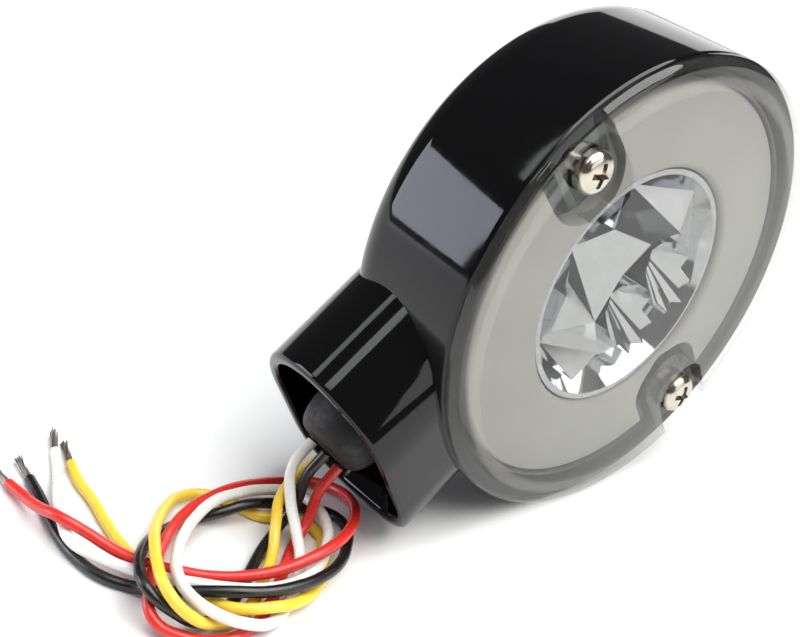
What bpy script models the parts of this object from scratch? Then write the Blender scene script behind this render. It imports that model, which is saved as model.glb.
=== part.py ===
"""Round rear turn signal for a motorcycle: drum light on a short hollow stem, with four leads.

The light is drawn in its own axes: the drum's axis is Y and the lens faces -Y, the stem runs
along -X, and Y = 0 is the front edge of the housing. All of it hangs under one empty, which
lays the light down as it rests on a table: on the drum's wall and on the stem's lower corner.
The leads are drawn in world axes, because they lie on the table.
"""
import bpy
import bmesh
import numpy as np
from math import asin, atan, atan2, cos, pi, radians, sin, sqrt, tan
from mathutils import Matrix, Vector

MM = 0.001

# Clearances
GAP = 0.3 * MM               # between faces that seat on each other
SCREW_CLEAR = 0.35 * MM      # round a screw or an insert in its hole

# Housing drum
DRUM_RADIUS = 34.0 * MM
DRUM_DEPTH = 27.5 * MM       # front edge to the top of the domed back
WALL_STRAIGHT = 15.3 * MM    # straight part of the drum's wall
BACK_FILLET = 6.0 * MM
DRUM_WALL = 3.2 * MM
SEAT_WALL = 2.2 * MM         # wall beside the lens skirt, in front of the gasket's ledge
DRUM_SIDES = 48

# Stem, cast with the drum
STEM_LENGTH = DRUM_RADIUS + 8.9 * MM      # drum axis to the middle of the stem's end
STEM_WIDTH = 24.0 * MM       # along Y
STEM_HEIGHT = 29.6 * MM      # along Z
STEM_TOP_ROUND = 12.0 * MM
STEM_BOTTOM_ROUND = 9.0 * MM
STEM_FRONT = 0.4 * MM        # stem's front side, behind the drum's front edge
STEM_RISE = 7.4 * MM         # stem's middle above the drum's axis
STEM_ROOT = 10.0 * MM        # inner end of the stem's solid, from the drum's axis
STEM_WALL = 1.8 * MM
STEM_END_ANGLE = radians(8.3)   # the end is cut off square less this angle
MOUTH_FLOOR = DRUM_RADIUS

# Stem bosses and their threaded inserts
BOSS_RADIUS = 3.3 * MM
BOSS_SPACING = 19.2 * MM
BOSS_TOP = DRUM_RADIUS + 5.4 * MM         # from the drum's axis
INSERT_RADIUS = 2.15 * MM
INSERT_BORE = 1.25 * MM
INSERT_LENGTH = 4.6 * MM

# Wire grommet
GROMMET_RADIUS = 6.0 * MM
GROMMET_NECK = 4.2 * MM
GROMMET_FLANGE = 5.1 * MM
GROMMET_FLANGE_THICK = 1.5 * MM
GROMMET_PROUD = 1.4 * MM     # nose in front of the middle of the stem's end
NOSE_RADIUS = 3.9 * MM
NOSE_LENGTH = 5.0 * MM

# Lens
LENS_RIM = 1.8 * MM          # front of the lens at its rounded edge, before the housing's front edge
LENS_DOME = 2.5 * MM         # rise of the face from there to its middle
LENS_THICK = 2.0 * MM
LENS_EDGE_ROUND = 1.5 * MM
SKIRT_THICK = 1.5 * MM
SKIRT_DEPTH = 2.8 * MM
POCKET_WIDTH = 9.0 * MM
POCKET_FLOOR = -0.2 * MM     # depth of the pocket's floor behind the housing's front edge
POCKET_PLACE = 24.5 * MM     # middle of the pocket's round end, from the drum's axis
POCKET_WALL = 1.5 * MM
POCKET_FLOOR_THICK = 2.0 * MM

# Lens screws
SCREW_PLACE = POCKET_PLACE + 2.5 * MM     # from the drum's axis, above and below it
SCREW_HEAD_RADIUS = 3.0 * MM
SCREW_HEAD_HEIGHT = 2.4 * MM
SCREW_SHANK_RADIUS = 1.25 * MM
SCREW_SHANK_LENGTH = 11.5 * MM
POST_RADIUS = 2.6 * MM
PILOT_DEPTH = 12.5 * MM
POST_BACK = DRUM_DEPTH - 7.1 * MM   # the post's end, inside the domed back's wall

# Gasket
GASKET_THICK = 1.1 * MM

# Light guide ring and reflector
GUIDE_THICK = 2.5 * MM
GUIDE_RISE = 0.8 * MM        # inner edge's front before the outer edge's
GUIDE_INNER = 17.9 * MM
GUIDE_EDGE_CLEAR = 0.5 * MM
REFLECTOR_FLANGE_THICK = 1.0 * MM
REFLECTOR_WALL = 1.2 * MM
REFLECTOR_DEPTH = 4.7 * MM   # floor of the bowl behind the housing's front edge
REFLECTOR_FLOOR_RADIUS = 13.4 * MM
CUP_TOP_RADIUS = 4.3 * MM
CUP_FLOOR_RADIUS = 2.7 * MM
CUP_WALL = 0.6 * MM
CUP_TOP = -1.6 * MM          # rim of the cups behind the housing's front edge
CUP_SPACING = 9.2 * MM

# LED board and what is on it
BOARD_RADIUS = 25.0 * MM
BOARD_THICK = 1.6 * MM
RING_LED_COUNT = 8
RING_LED_PLACE = 22.6 * MM
RING_LED_SIZE = (3.0 * MM, 2.6 * MM, 1.2 * MM)
RING_WINDOW_RADIUS = 1.6 * MM
CUP_LED_RADIUS = 2.3 * MM
CUP_LED_HEIGHT = 2.6 * MM
BOARD_SCREW_PLACES = ((16.0 * MM, -15.0 * MM), (-16.0 * MM, -15.0 * MM))
BOARD_SCREW_HEAD_RADIUS = 1.9 * MM
BOARD_SCREW_HEAD_HEIGHT = 1.3 * MM
BOARD_SCREW_SHANK_RADIUS = 0.85 * MM
BOARD_SCREW_SHANK_LENGTH = 6.0 * MM
BOARD_POST_RADIUS = 2.7 * MM
BOARD_PILOT_DEPTH = 6.5 * MM
BOARD_POST_BACK = DRUM_DEPTH - 5.3 * MM

# Leads
LEAD_RADIUS = 0.75 * MM
LEAD_STEP = 2.4 * MM         # spacing of the points along a lead's tube
ROUTE_STEP = 1.0 * MM        # spacing at which neighbouring leads are eased apart
LEAD_PITCH = 2 * LEAD_RADIUS + GAP + 0.2 * MM
LEAD_REST = LEAD_RADIUS + 0.05 * MM
EASE_ROUNDS = 300
LEAD_CLEAR = 0.6 * MM        # from the grommet's nose to the end of a lead's tube
LEAD_STRAIGHT = 1.4 * MM     # a lead leaves the nose square to it this far
STRAND_RADIUS = 0.5 * MM
STRAND_LENGTH = 5.0 * MM
INNER_LEAD_END = -14.0 * MM  # X of the solder pads

# Where each lead leaves the grommet's nose, as (depth, height) off its middle, in millimetres.
LEAD_EXITS = {"white": (1.7, 0.9), "yellow": (0.6, -1.9), "black": (-1.2, 0.9), "red": (-2.4, -1.6)}
# The way each lead takes through the loose knot: millimetres off the spot under the nose, and up.
LEAD_ROUTES = {
    "white": (
        (-3.5, 1.5, 9), (-4.5, 0, 6.8), (-5, -1.5, 4.6), (-7, -5, 3), (-8, -7, 1.2),
        (-11, -10, 0.8), (-16.5, -13.5, 1.2), (-20.5, -14.5, 2.6), (-24, -13, 3), (-26, -10.5, 4),
        (-26.5, -7, 4.5), (-24.5, -3, 4.5), (-20, 2, 3.4), (-15.5, 5, 2.8), (-11, 6, 2.8),
        (-6.5, 5.5, 2.2), (-2, 4.5, 1.8), (-0.5, 0.5, 2.6), (-1, -4, 2.8),
        (-3.5, -7.5, 2.8), (-7.5, -10.5, 2.8),
        (-12.5, -11.5, 2.8), (-18, -10, 2.8), (-22.5, -6.5, 2.6), (-26, -2, 2.6), (-29, 3, 2),
        (-31.5, 7.5, 2.4), (-31, 11.5, 2.4), (-29, 17, 1.6), (-25.5, 22.5, 0.8), (-23, 27.5, 0.8)),
    "yellow": (
        (-2.5, 2.3, 6.4), (-5, 1, 5), (-7, -1, 4), (-8.5, -3, 2.8), (-10.5, -5, 0.9),
        (-14, -8, 0.8), (-17.5, -10.5, 0.8), (-20.5, -11.5, 0.8), (-23.5, -11.5, 1.6), (-26.5, -11, 3.4),
        (-28.5, -9, 4.8), (-28.5, -6, 5.8), (-26, -1.5, 5.2), (-22, 4, 3.4), (-16.5, 9.5, 1.6),
        (-12, 11.5, 0.8), (-8.5, 9.5, 0.8), (-7, 6.5, 0.8), (-5.5, 3.5, 0.8), (-2, 1, 0.8), (-1, -2.5, 0.8),
        (-3, -6.5, 0.8), (-6, -10, 0.8), (-11, -13, 1.4), (-17, -14, 2.8), (-20.5, -12.5, 2.8),
        (-22, -9.5, 2), (-23, -5, 0.8), (-24.5, -0.5, 0.8), (-25.5, 3, 0.8), (-25.5, 7, 0.8),
        (-25, 11, 0.8), (-24, 16, 0.8), (-23.5, 21, 0.8), (-22.5, 24.5, 0.8)),
    "black": (
        (-3, -0.5, 8.4), (-3.5, -0.5, 5), (-5.5, -0.5, 1.4), (-9.5, -3, 0.8), (-13, -5.5, 0.8),
        (-16, -7.5, 0.8), (-19, -9, 0.8), (-22, -10, 0.8), (-25, -10.5, 0.8), (-27, -10, 1.6),
        (-28.5, -8.5, 2.8), (-30, -6, 4.4), (-27.5, -1, 3.8), (-23, 4, 2.2), (-17.5, 7, 0.9),
        (-13.5, 7, 0.9), (-10.5, 5, 2.4), (-6, 4.5, 1.8), (-1.5, 3, 0.9), (2, 0.5, 0.8), (2.5, -3.5, 1.2),
        (-0.5, -8, 2.4), (-4.5, -11.5, 2.8), (-8.5, -13, 2.8), (-14, -13.5, 2.8), (-19.5, -12, 2.9),
        (-23, -9, 2.8), (-26, -4.5, 2), (-27.5, -0.5, 0.8), (-30, 3, 0.8), (-31, 7, 0.8), (-31, 11.5, 0.8),
        (-30, 16.5, 0.8), (-29, 21, 0.8), (-28.5, 24, 0.8)),
    "red": (
        (-1.5, -2, 6.2), (-2.5, -2.5, 3.6), (-4.5, -3, 1.2), (-8.5, -6, 0.8),
        (-12, -9, 0.8), (-15.5, -12, 0.8), (-20, -14, 0.8), (-24, -13.5, 0.8), (-26.5, -11.5, 0.8),
        (-28.5, -9.5, 1.6), (-30, -7.5, 3.4), (-28.5, -4.5, 4.2), (-25, -0.5, 3.8),
        (-20.5, 3.5, 3), (-15, 6, 2.8),
        (-10.5, 6.5, 2.8), (-4.5, 7.5, 1.8), (2, 7, 0.8), (5.5, 5, 0.8), (6, 0.5, 1.8), (3.5, -4.5, 3.4),
        (-1, -8.5, 4.2), (-7, -10.5, 4.2), (-11.5, -10, 3.4), (-16.5, -8, 2.8), (-21, -5, 2.6),
        (-25, -1, 2.8), (-28.5, 4.5, 2.6), (-30, 7.5, 2.8), (-32, 10, 4), (-32.5, 16, 2.6),
        (-32, 20, 1.4), (-32, 24, 0.8)),
}

# Worked out from the sizes above
STEM_DEPTH = STEM_FRONT + STEM_WIDTH / 2
SEAT_RADIUS = DRUM_RADIUS - SEAT_WALL
CAVITY_RADIUS = DRUM_RADIUS - DRUM_WALL
SKIRT_RADIUS = SEAT_RADIUS - GAP
LENS_PROUD = LENS_RIM + LENS_DOME
GASKET_FRONT = SKIRT_DEPTH + GAP
LEDGE = GASKET_FRONT + GASKET_THICK + GAP
GUIDE_OUTER = SKIRT_RADIUS - SKIRT_THICK - GUIDE_EDGE_CLEAR
GUIDE_FRONT = LENS_THICK - LENS_RIM + GAP
GUIDE_BACK = GUIDE_FRONT + GUIDE_THICK
POCKET_BACK = POCKET_FLOOR + POCKET_FLOOR_THICK
POST_FRONT = POCKET_BACK + GAP
FLANGE_FRONT = GUIDE_BACK + GAP
FLANGE_BACK = FLANGE_FRONT + REFLECTOR_FLANGE_THICK
BOARD_FRONT = REFLECTOR_DEPTH + REFLECTOR_WALL + GAP
BOARD_BACK = BOARD_FRONT + BOARD_THICK
GROMMET_NOSE = STEM_LENGTH + GROMMET_PROUD
STEM_CORNER = (STEM_LENGTH + tan(STEM_END_ANGLE) * STEM_HEIGHT / 2, STEM_HEIGHT / 2 - STEM_RISE)
REST_TILT = (asin(DRUM_RADIUS / sqrt(STEM_CORNER[0] ** 2 + STEM_CORNER[1] ** 2))
             - atan2(STEM_CORNER[1], STEM_CORNER[0]))


for item in list(bpy.data.objects):
    bpy.data.objects.remove(item, do_unlink=True)

parts = bpy.data.collections.new("turn_signal")
cutters = bpy.data.collections.new("turn_signal_cutters")
bpy.context.scene.collection.children.link(parts)
bpy.context.scene.collection.children.link(cutters)


def finish(name, colour, roughness, metallic=0.0, alpha=1.0):
    """A plain moulded or metal finish."""
    made = bpy.data.materials.new(name)
    made.use_nodes = True
    shader = made.node_tree.nodes["Principled BSDF"]
    shader.inputs["Base Color"].default_value = (*colour, 1.0)
    shader.inputs["Roughness"].default_value = roughness
    shader.inputs["Metallic"].default_value = metallic
    shader.inputs["Alpha"].default_value = alpha
    return made


GLOSS_BLACK = finish("gloss_black_enamel", (0.012, 0.012, 0.013), 0.12)
CLEAR = finish("smoked_clear_plastic", (0.55, 0.56, 0.54), 0.05, alpha=0.35)
FROSTED = finish("frosted_plastic", (0.50, 0.49, 0.45), 0.45)
CHROME = finish("vacuum_chrome", (0.80, 0.80, 0.80), 0.08, 1.0)
RUBBER = finish("black_rubber", (0.03, 0.03, 0.03), 0.7)
STEEL = finish("nickel_steel", (0.70, 0.68, 0.64), 0.25, 1.0)
BRASS = finish("brass", (0.60, 0.45, 0.20), 0.35, 1.0)
BOARD_GREEN = finish("circuit_board", (0.03, 0.16, 0.07), 0.5)
AMBER = finish("amber_diode", (0.90, 0.40, 0.05), 0.3)
WHITE_DIODE = finish("white_diode", (0.85, 0.82, 0.60), 0.4)
BLACK_EPOXY = finish("black_epoxy", (0.02, 0.02, 0.02), 0.5)
TINNED = finish("tinned_copper", (0.72, 0.70, 0.66), 0.35, 1.0)
LEAD_FINISHES = {
    "white": finish("white_vinyl", (0.80, 0.82, 0.82), 0.35),
    "yellow": finish("yellow_vinyl", (0.88, 0.66, 0.10), 0.35),
    "black": finish("black_vinyl", (0.02, 0.02, 0.02), 0.35),
    "red": finish("red_vinyl", (0.75, 0.06, 0.05), 0.35),
}


def lay_light_down():
    """The empty that tips the light so that the drum and the stem's lower corner touch Z = 0."""
    axes = bpy.data.objects.new("light_axes", None)
    bpy.context.scene.collection.objects.link(axes)
    axes.rotation_euler = (0.0, -REST_TILT, 0.0)
    end_top = STEM_HEIGHT / 2 + STEM_RISE
    end_top_x = STEM_LENGTH - tan(STEM_END_ANGLE) * STEM_HEIGHT / 2
    reach = max(end_top_x * cos(REST_TILT) + end_top * sin(REST_TILT),
                STEM_CORNER[0] * cos(REST_TILT) - STEM_CORNER[1] * sin(REST_TILT))
    axes.location = ((reach - DRUM_RADIUS) / 2, (LENS_PROUD - DRUM_DEPTH) / 2, DRUM_RADIUS)
    return axes


LIGHT_AXES = lay_light_down()


def place(name, mesh, material, cutter=False, parent=LIGHT_AXES):
    """Link a mesh as a part, or as a cutter that is left out of the model."""
    made = bpy.data.objects.new(name, mesh)
    (cutters if cutter else parts).objects.link(made)
    made.parent = parent
    if material:
        mesh.materials.append(material)
    if cutter:
        made.hide_render = True
        made.display_type = 'WIRE'
    return made


def smooth(mesh):
    mesh.shade_smooth()
    mesh.set_sharp_from_angle(angle=radians(35))


def arc(centre, radius, start, end, count):
    """Points on an arc in a profile's plane; angles in degrees from the first axis."""
    steps = [radians(start + (end - start) * i / count) for i in range(count + 1)]
    return [(centre[0] + radius * cos(a), centre[1] + radius * sin(a)) for a in steps]


def turned(name, profile, material, steps=32, cutter=False, along='Y', middle=(0.0, 0.0),
           closed=False):
    """A turned shape from (radius, height) points, whose outer side runs from high to low.

    Along Y the height is the depth behind the housing's front edge and middle is X and Z.
    Along the stem the height is the distance out from the drum's axis and middle is Y and Z.
    """
    mesh = bpy.data.meshes.new(name)
    edges = [(i, i + 1) for i in range(len(profile) - 1)]
    if closed:
        edges.append((len(profile) - 1, 0))
    mesh.from_pydata([(r, 0.0, h) for r, h in profile], edges, [])
    made = place(name, mesh, material, cutter)
    if along == 'Y':
        turn = Matrix.Rotation(REST_TILT, 4, 'Y') @ Matrix.Rotation(-pi / 2, 4, 'X')
        made.location = (middle[0], 0.0, middle[1])
    else:
        turn = Matrix.Rotation(-pi / 2, 4, 'Y')
        made.location = (0.0, middle[0], middle[1])
    made.rotation_euler = turn.to_euler()
    screw = made.modifiers.new("turn", 'SCREW')
    screw.steps = steps
    screw.render_steps = steps
    screw.use_merge_vertices = True
    screw.merge_threshold = 0.00001
    screw.use_smooth_shade = True
    return made


def flat_piece(name, outline, low, high, material, cutter=False, along='Y'):
    """A flat outline given a thickness, from low to high along Y or X.

    Along Y the outline is X and Z; along X it is Y and Z.
    """
    curve = bpy.data.curves.new(name, 'CURVE')
    curve.dimensions = '2D'
    curve.fill_mode = 'BOTH'
    curve.extrude = (high - low) / 2
    spline = curve.splines.new('POLY')
    spline.points.add(len(outline) - 1)
    for point, (a, b) in zip(spline.points, outline):
        point.co = (a, b, 0.0, 1.0)
    spline.use_cyclic_u = True
    guide = bpy.data.objects.new(name + "_outline", curve)
    cutters.objects.link(guide)
    if along == 'Y':
        guide.location = (0.0, (low + high) / 2, 0.0)
        guide.rotation_euler = (pi / 2, 0.0, 0.0)
    else:
        guide.location = ((low + high) / 2, 0.0, 0.0)
        guide.rotation_euler = (pi / 2, 0.0, pi / 2)
    mesh = mesh_of_curve(guide, name)
    return place(name, mesh, material, cutter)


def mesh_of_curve(guide, name):
    """The closed mesh of a curve object, in the curve's world place; the curve is removed."""
    bpy.context.view_layer.update()
    view = bpy.context.evaluated_depsgraph_get()
    mesh = bpy.data.meshes.new_from_object(guide.evaluated_get(view))
    mesh.name = name
    mesh.transform(guide.matrix_world)
    form = bmesh.new()
    form.from_mesh(mesh)
    bmesh.ops.remove_doubles(form, verts=form.verts, dist=0.000005)
    bmesh.ops.recalc_face_normals(form, faces=form.faces)
    form.to_mesh(mesh)
    form.free()
    mesh.materials.clear()
    bpy.data.objects.remove(guide, do_unlink=True)
    return mesh


def rods(name, places, radius, low, high, material=None, sides=20, along='Y', cutter=True,
         top_radius=None):
    """Plain round bars side by side in one mesh, from low to high along Y or out along the stem."""
    form = bmesh.new()
    for first, second in places:
        if along == 'Y':
            spot = Matrix.Translation((first, (low + high) / 2, second)) @ Matrix.Rotation(-pi / 2, 4, 'X')
        else:
            spot = Matrix.Translation((-(low + high) / 2, first, second)) @ Matrix.Rotation(-pi / 2, 4, 'Y')
        bmesh.ops.create_cone(form, cap_ends=True, segments=sides, radius1=radius,
                              radius2=radius if top_radius is None else top_radius,
                              depth=high - low, matrix=spot)
    mesh = bpy.data.meshes.new(name)
    form.to_mesh(mesh)
    form.free()
    return place(name, mesh, material, cutter)


def block(name, centre, size, material, cutter=False, turn=0.0):
    """A box with softened edges, centred at X, Y, Z and turned about the drum's axis."""
    form = bmesh.new()
    spot = (Matrix.Rotation(turn, 4, 'Y') @ Matrix.Translation(centre)
            @ Matrix.Diagonal((*size, 1.0)))
    bmesh.ops.create_cube(form, size=1.0, matrix=spot)
    mesh = bpy.data.meshes.new(name)
    form.to_mesh(mesh)
    form.free()
    made = place(name, mesh, material, cutter)
    if not cutter:
        bevel = made.modifiers.new("edge", 'BEVEL')
        bevel.width = min(size) * 0.12
        bevel.segments = 1
    return made


def cut(target, cutter):
    step = target.modifiers.new(cutter.name, 'BOOLEAN')
    step.operation = 'DIFFERENCE'
    step.object = cutter


def join(target, piece):
    step = target.modifiers.new(piece.name, 'BOOLEAN')
    step.operation = 'UNION'
    step.object = piece


def back_profile(inset):
    """The drum's domed back and rounded edge as (radius, depth) points, from the axis outwards."""
    rise = DRUM_DEPTH - WALL_STRAIGHT
    edge = DRUM_RADIUS - BACK_FILLET
    dome = (edge ** 2 + rise ** 2 - BACK_FILLET ** 2) / (2 * (rise - BACK_FILLET))
    centre = DRUM_DEPTH - dome
    meet = 90 - atan2(edge, WALL_STRAIGHT - centre) * 180 / pi
    points = arc((0.0, centre), dome - inset, 90, meet, 4)
    points[0] = (0.0, points[0][1])
    return points + arc((edge, WALL_STRAIGHT), BACK_FILLET - inset, meet, 0, 4)[1:]


def stem_section(inset):
    """Rounded outline of the stem in Y and Z, drawn in from the outside by inset."""
    half_width = STEM_WIDTH / 2 - inset
    half_height = STEM_HEIGHT / 2 - inset
    points = []
    corners = ((1, 1, 0, STEM_TOP_ROUND), (-1, 1, 90, STEM_TOP_ROUND),
               (-1, -1, 180, STEM_BOTTOM_ROUND), (1, -1, 270, STEM_BOTTOM_ROUND))
    for side_y, side_z, start, outer_round in corners:
        radius = max(outer_round - inset, 0.5 * MM)
        centre = (STEM_DEPTH + side_y * (half_width - radius), STEM_RISE + side_z * (half_height - radius))
        points += arc(centre, radius, start, start + 90, 7)
    return points


def pocket_outline(half_width, outer_end):
    """A U round the upper screw, open outwards: X and Z of its outline."""
    points = arc((0.0, POCKET_PLACE), half_width, 180, 360, 12)
    return points + [(half_width, outer_end), (-half_width, outer_end)]


def flipped(outline):
    """The same outline for the lower screw."""
    return [(-x, -z) for x, z in outline]


SCREW_PLACES = ((0.0, SCREW_PLACE), (0.0, -SCREW_PLACE))
BOSS_PLACES = ((STEM_DEPTH, STEM_RISE + BOSS_SPACING / 2), (STEM_DEPTH, STEM_RISE - BOSS_SPACING / 2))
CUP_PLACES = ((-CUP_SPACING / 2, 0.0), (CUP_SPACING / 2, 0.0))
STEM_MIDDLE = (STEM_DEPTH, STEM_RISE)


def make_housing():
    """Drum and stem in one casting, with screw posts inside and two bosses in the stem's mouth."""
    front = [(DRUM_RADIUS, 0.0), (0.0, 0.0)]
    housing = turned("housing", back_profile(0.0) + front, GLOSS_BLACK, DRUM_SIDES)
    stem = flat_piece("stem_solid", stem_section(0.0), -STEM_LENGTH, -STEM_ROOT, None, True, 'X')
    for vertex in stem.data.vertices:
        if vertex.co.x < -STEM_ROOT - GAP:
            vertex.co.x -= tan(STEM_END_ANGLE) * (STEM_RISE - vertex.co.z)
    join(housing, stem)
    hollow = back_profile(DRUM_WALL) + [(CAVITY_RADIUS, LEDGE), (SEAT_RADIUS, LEDGE),
                                        (SEAT_RADIUS, -LENS_PROUD), (0.0, -LENS_PROUD)]
    cut(housing, turned("drum_hollow", hollow, None, DRUM_SIDES, True))
    mouth_outer = -STEM_LENGTH - STEM_HEIGHT
    cut(housing, flat_piece("stem_mouth", stem_section(STEM_WALL), mouth_outer, -MOUTH_FLOOR, None,
                            True, 'X'))
    hole = GROMMET_NECK + GAP
    cut(housing, rods("grommet_hole", [STEM_MIDDLE], hole, STEM_LENGTH / 2, STEM_LENGTH,
                      along='stem', sides=24))
    sunk = DRUM_WALL / 2
    join(housing, rods("screw_posts", SCREW_PLACES, POST_RADIUS, POST_FRONT, POST_BACK))
    join(housing, rods("board_posts", BOARD_SCREW_PLACES, BOARD_POST_RADIUS, BOARD_BACK + GAP,
                       BOARD_POST_BACK))
    join(housing, rods("stem_bosses", BOSS_PLACES, BOSS_RADIUS, MOUTH_FLOOR - sunk, BOSS_TOP, along='stem'))
    pilot = SCREW_SHANK_RADIUS + SCREW_CLEAR
    cut(housing, rods("screw_pilots", SCREW_PLACES, pilot, 0.0, POST_FRONT + PILOT_DEPTH, sides=12))
    pilot = BOARD_SCREW_SHANK_RADIUS + SCREW_CLEAR
    cut(housing, rods("board_pilots", BOARD_SCREW_PLACES, pilot, 0.0,
                      BOARD_BACK + BOARD_PILOT_DEPTH, sides=12))
    insert_floor = BOSS_TOP - INSERT_LENGTH - 3 * GAP
    cut(housing, rods("insert_holes", BOSS_PLACES, INSERT_RADIUS + SCREW_CLEAR, insert_floor, STEM_LENGTH,
                      along='stem', sides=16))


def make_inserts():
    """Two threaded bushes pressed into the stem's bosses, where the bracket's screws go."""
    for number, spot in enumerate(BOSS_PLACES, 1):
        high = BOSS_TOP - GAP
        low = high - INSERT_LENGTH
        ring = [(INSERT_BORE, high), (INSERT_RADIUS, high), (INSERT_RADIUS, low), (INSERT_BORE, low)]
        turned(f"threaded_insert_{number}", ring, BRASS, 16, along='stem', middle=spot, closed=True)


def make_grommet():
    """Rubber plug in the stem's mouth: round nose, neck through the drum's wall, inner flange."""
    edge = DRUM_RADIUS - BACK_FILLET
    inner = sqrt(edge ** 2 - STEM_RISE ** 2) - GAP
    shoulder = GROMMET_NOSE - NOSE_LENGTH
    profile = [(0.0, GROMMET_NOSE), (NOSE_RADIUS, GROMMET_NOSE)]
    for step in range(1, 6):
        angle = step / 5 * pi / 2
        profile.append((NOSE_RADIUS + (GROMMET_RADIUS - NOSE_RADIUS) * sin(angle),
                        shoulder + NOSE_LENGTH * cos(angle)))
    profile += [(GROMMET_RADIUS, MOUTH_FLOOR + GAP), (GROMMET_NECK, MOUTH_FLOOR + GAP),
                (GROMMET_NECK, inner), (GROMMET_FLANGE, inner),
                (GROMMET_FLANGE, inner - GROMMET_FLANGE_THICK), (0.0, inner - GROMMET_FLANGE_THICK)]
    turned("wire_grommet", profile, RUBBER, 24, along='stem', middle=STEM_MIDDLE)


def dome_points(edge_radius, edge_depth, rise, count):
    """The lens's face from its middle to edge_radius, as (radius, depth) points."""
    radii = [edge_radius * i / count for i in range(count + 1)]
    return [(r, edge_depth - rise * (1 - (r / edge_radius) ** 2)) for r in radii]


def make_lens():
    """Clear domed cover with a skirt inside the housing and two screw pockets open at its rim."""
    skirt_inner = SKIRT_RADIUS - SKIRT_THICK
    face_edge = DRUM_RADIUS - LENS_EDGE_ROUND
    back = dome_points(skirt_inner, LENS_THICK - LENS_RIM, LENS_DOME * (skirt_inner / face_edge) ** 2, 6)
    front = dome_points(face_edge, -LENS_RIM, LENS_DOME, 6)
    edge = arc((face_edge, LENS_EDGE_ROUND - LENS_RIM), LENS_EDGE_ROUND, 0, -90, 3)
    profile = back + [(skirt_inner, SKIRT_DEPTH), (SKIRT_RADIUS, SKIRT_DEPTH),
                      (SKIRT_RADIUS, -GAP), (DRUM_RADIUS, -GAP)] + edge[1:] + front[-2::-1]
    lens = turned("lens", profile, CLEAR, DRUM_SIDES)
    wall_half = POCKET_WIDTH / 2 + POCKET_WALL
    wall_end = sqrt((skirt_inner + SKIRT_THICK / 2) ** 2 - wall_half ** 2)
    wall = pocket_outline(wall_half, wall_end)
    hollow = pocket_outline(POCKET_WIDTH / 2, DRUM_RADIUS + LENS_PROUD)
    wall_front = LENS_THICK / 2 - LENS_RIM - LENS_DOME * (1 - (POCKET_PLACE / face_edge) ** 2)
    for label, side in (("upper", list), ("lower", flipped)):
        join(lens, flat_piece(f"pocket_wall_{label}", side(wall), wall_front, POCKET_BACK, None, True))
    for label, side in (("upper", list), ("lower", flipped)):
        cut(lens, flat_piece(f"pocket_{label}", side(hollow), -2 * LENS_PROUD, POCKET_FLOOR, None, True))
    cut(lens, rods("pocket_holes", SCREW_PLACES, SCREW_SHANK_RADIUS + SCREW_CLEAR, -LENS_RIM, 2 * POCKET_BACK,
                   sides=12))


def make_gasket():
    """Flat rubber ring squeezed between the lens skirt and the housing's ledge."""
    outer = SEAT_RADIUS - GAP
    inner = CAVITY_RADIUS - GAP
    ring = [(inner, GASKET_FRONT + GASKET_THICK), (outer, GASKET_FRONT + GASKET_THICK),
            (outer, GASKET_FRONT), (inner, GASKET_FRONT)]
    turned("lens_gasket", ring, RUBBER, DRUM_SIDES, closed=True)


def pocket_notches(name, target, low, high):
    """Clear the screw pockets' walls from a ring that lies behind the lens."""
    notch = pocket_outline(POCKET_WIDTH / 2 + POCKET_WALL + GAP, DRUM_RADIUS)
    for label, side in (("upper", list), ("lower", flipped)):
        cut(target, flat_piece(f"{name}_{label}", side(notch), low, high, None, True))


def make_light_guide():
    """Frosted ring behind the lens, notched round the screw pockets."""
    round_off = GUIDE_THICK / 4
    inner_front = GUIDE_FRONT - GUIDE_RISE
    ring = [(GUIDE_INNER, GUIDE_BACK), (GUIDE_OUTER, GUIDE_BACK), (GUIDE_OUTER, GUIDE_FRONT + round_off),
            (GUIDE_OUTER - round_off, GUIDE_FRONT), (GUIDE_INNER + round_off, inner_front),
            (GUIDE_INNER, inner_front + round_off)]
    guide = turned("light_guide_ring", ring, FROSTED, DRUM_SIDES, closed=True)
    pocket_notches("guide_notch", guide, -LENS_PROUD, GUIDE_BACK + GUIDE_THICK)


def ring_places(radius):
    turns = [2 * pi * (i + 0.5) / RING_LED_COUNT for i in range(RING_LED_COUNT)]
    return [(radius * cos(a), radius * sin(a)) for a in turns]


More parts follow.
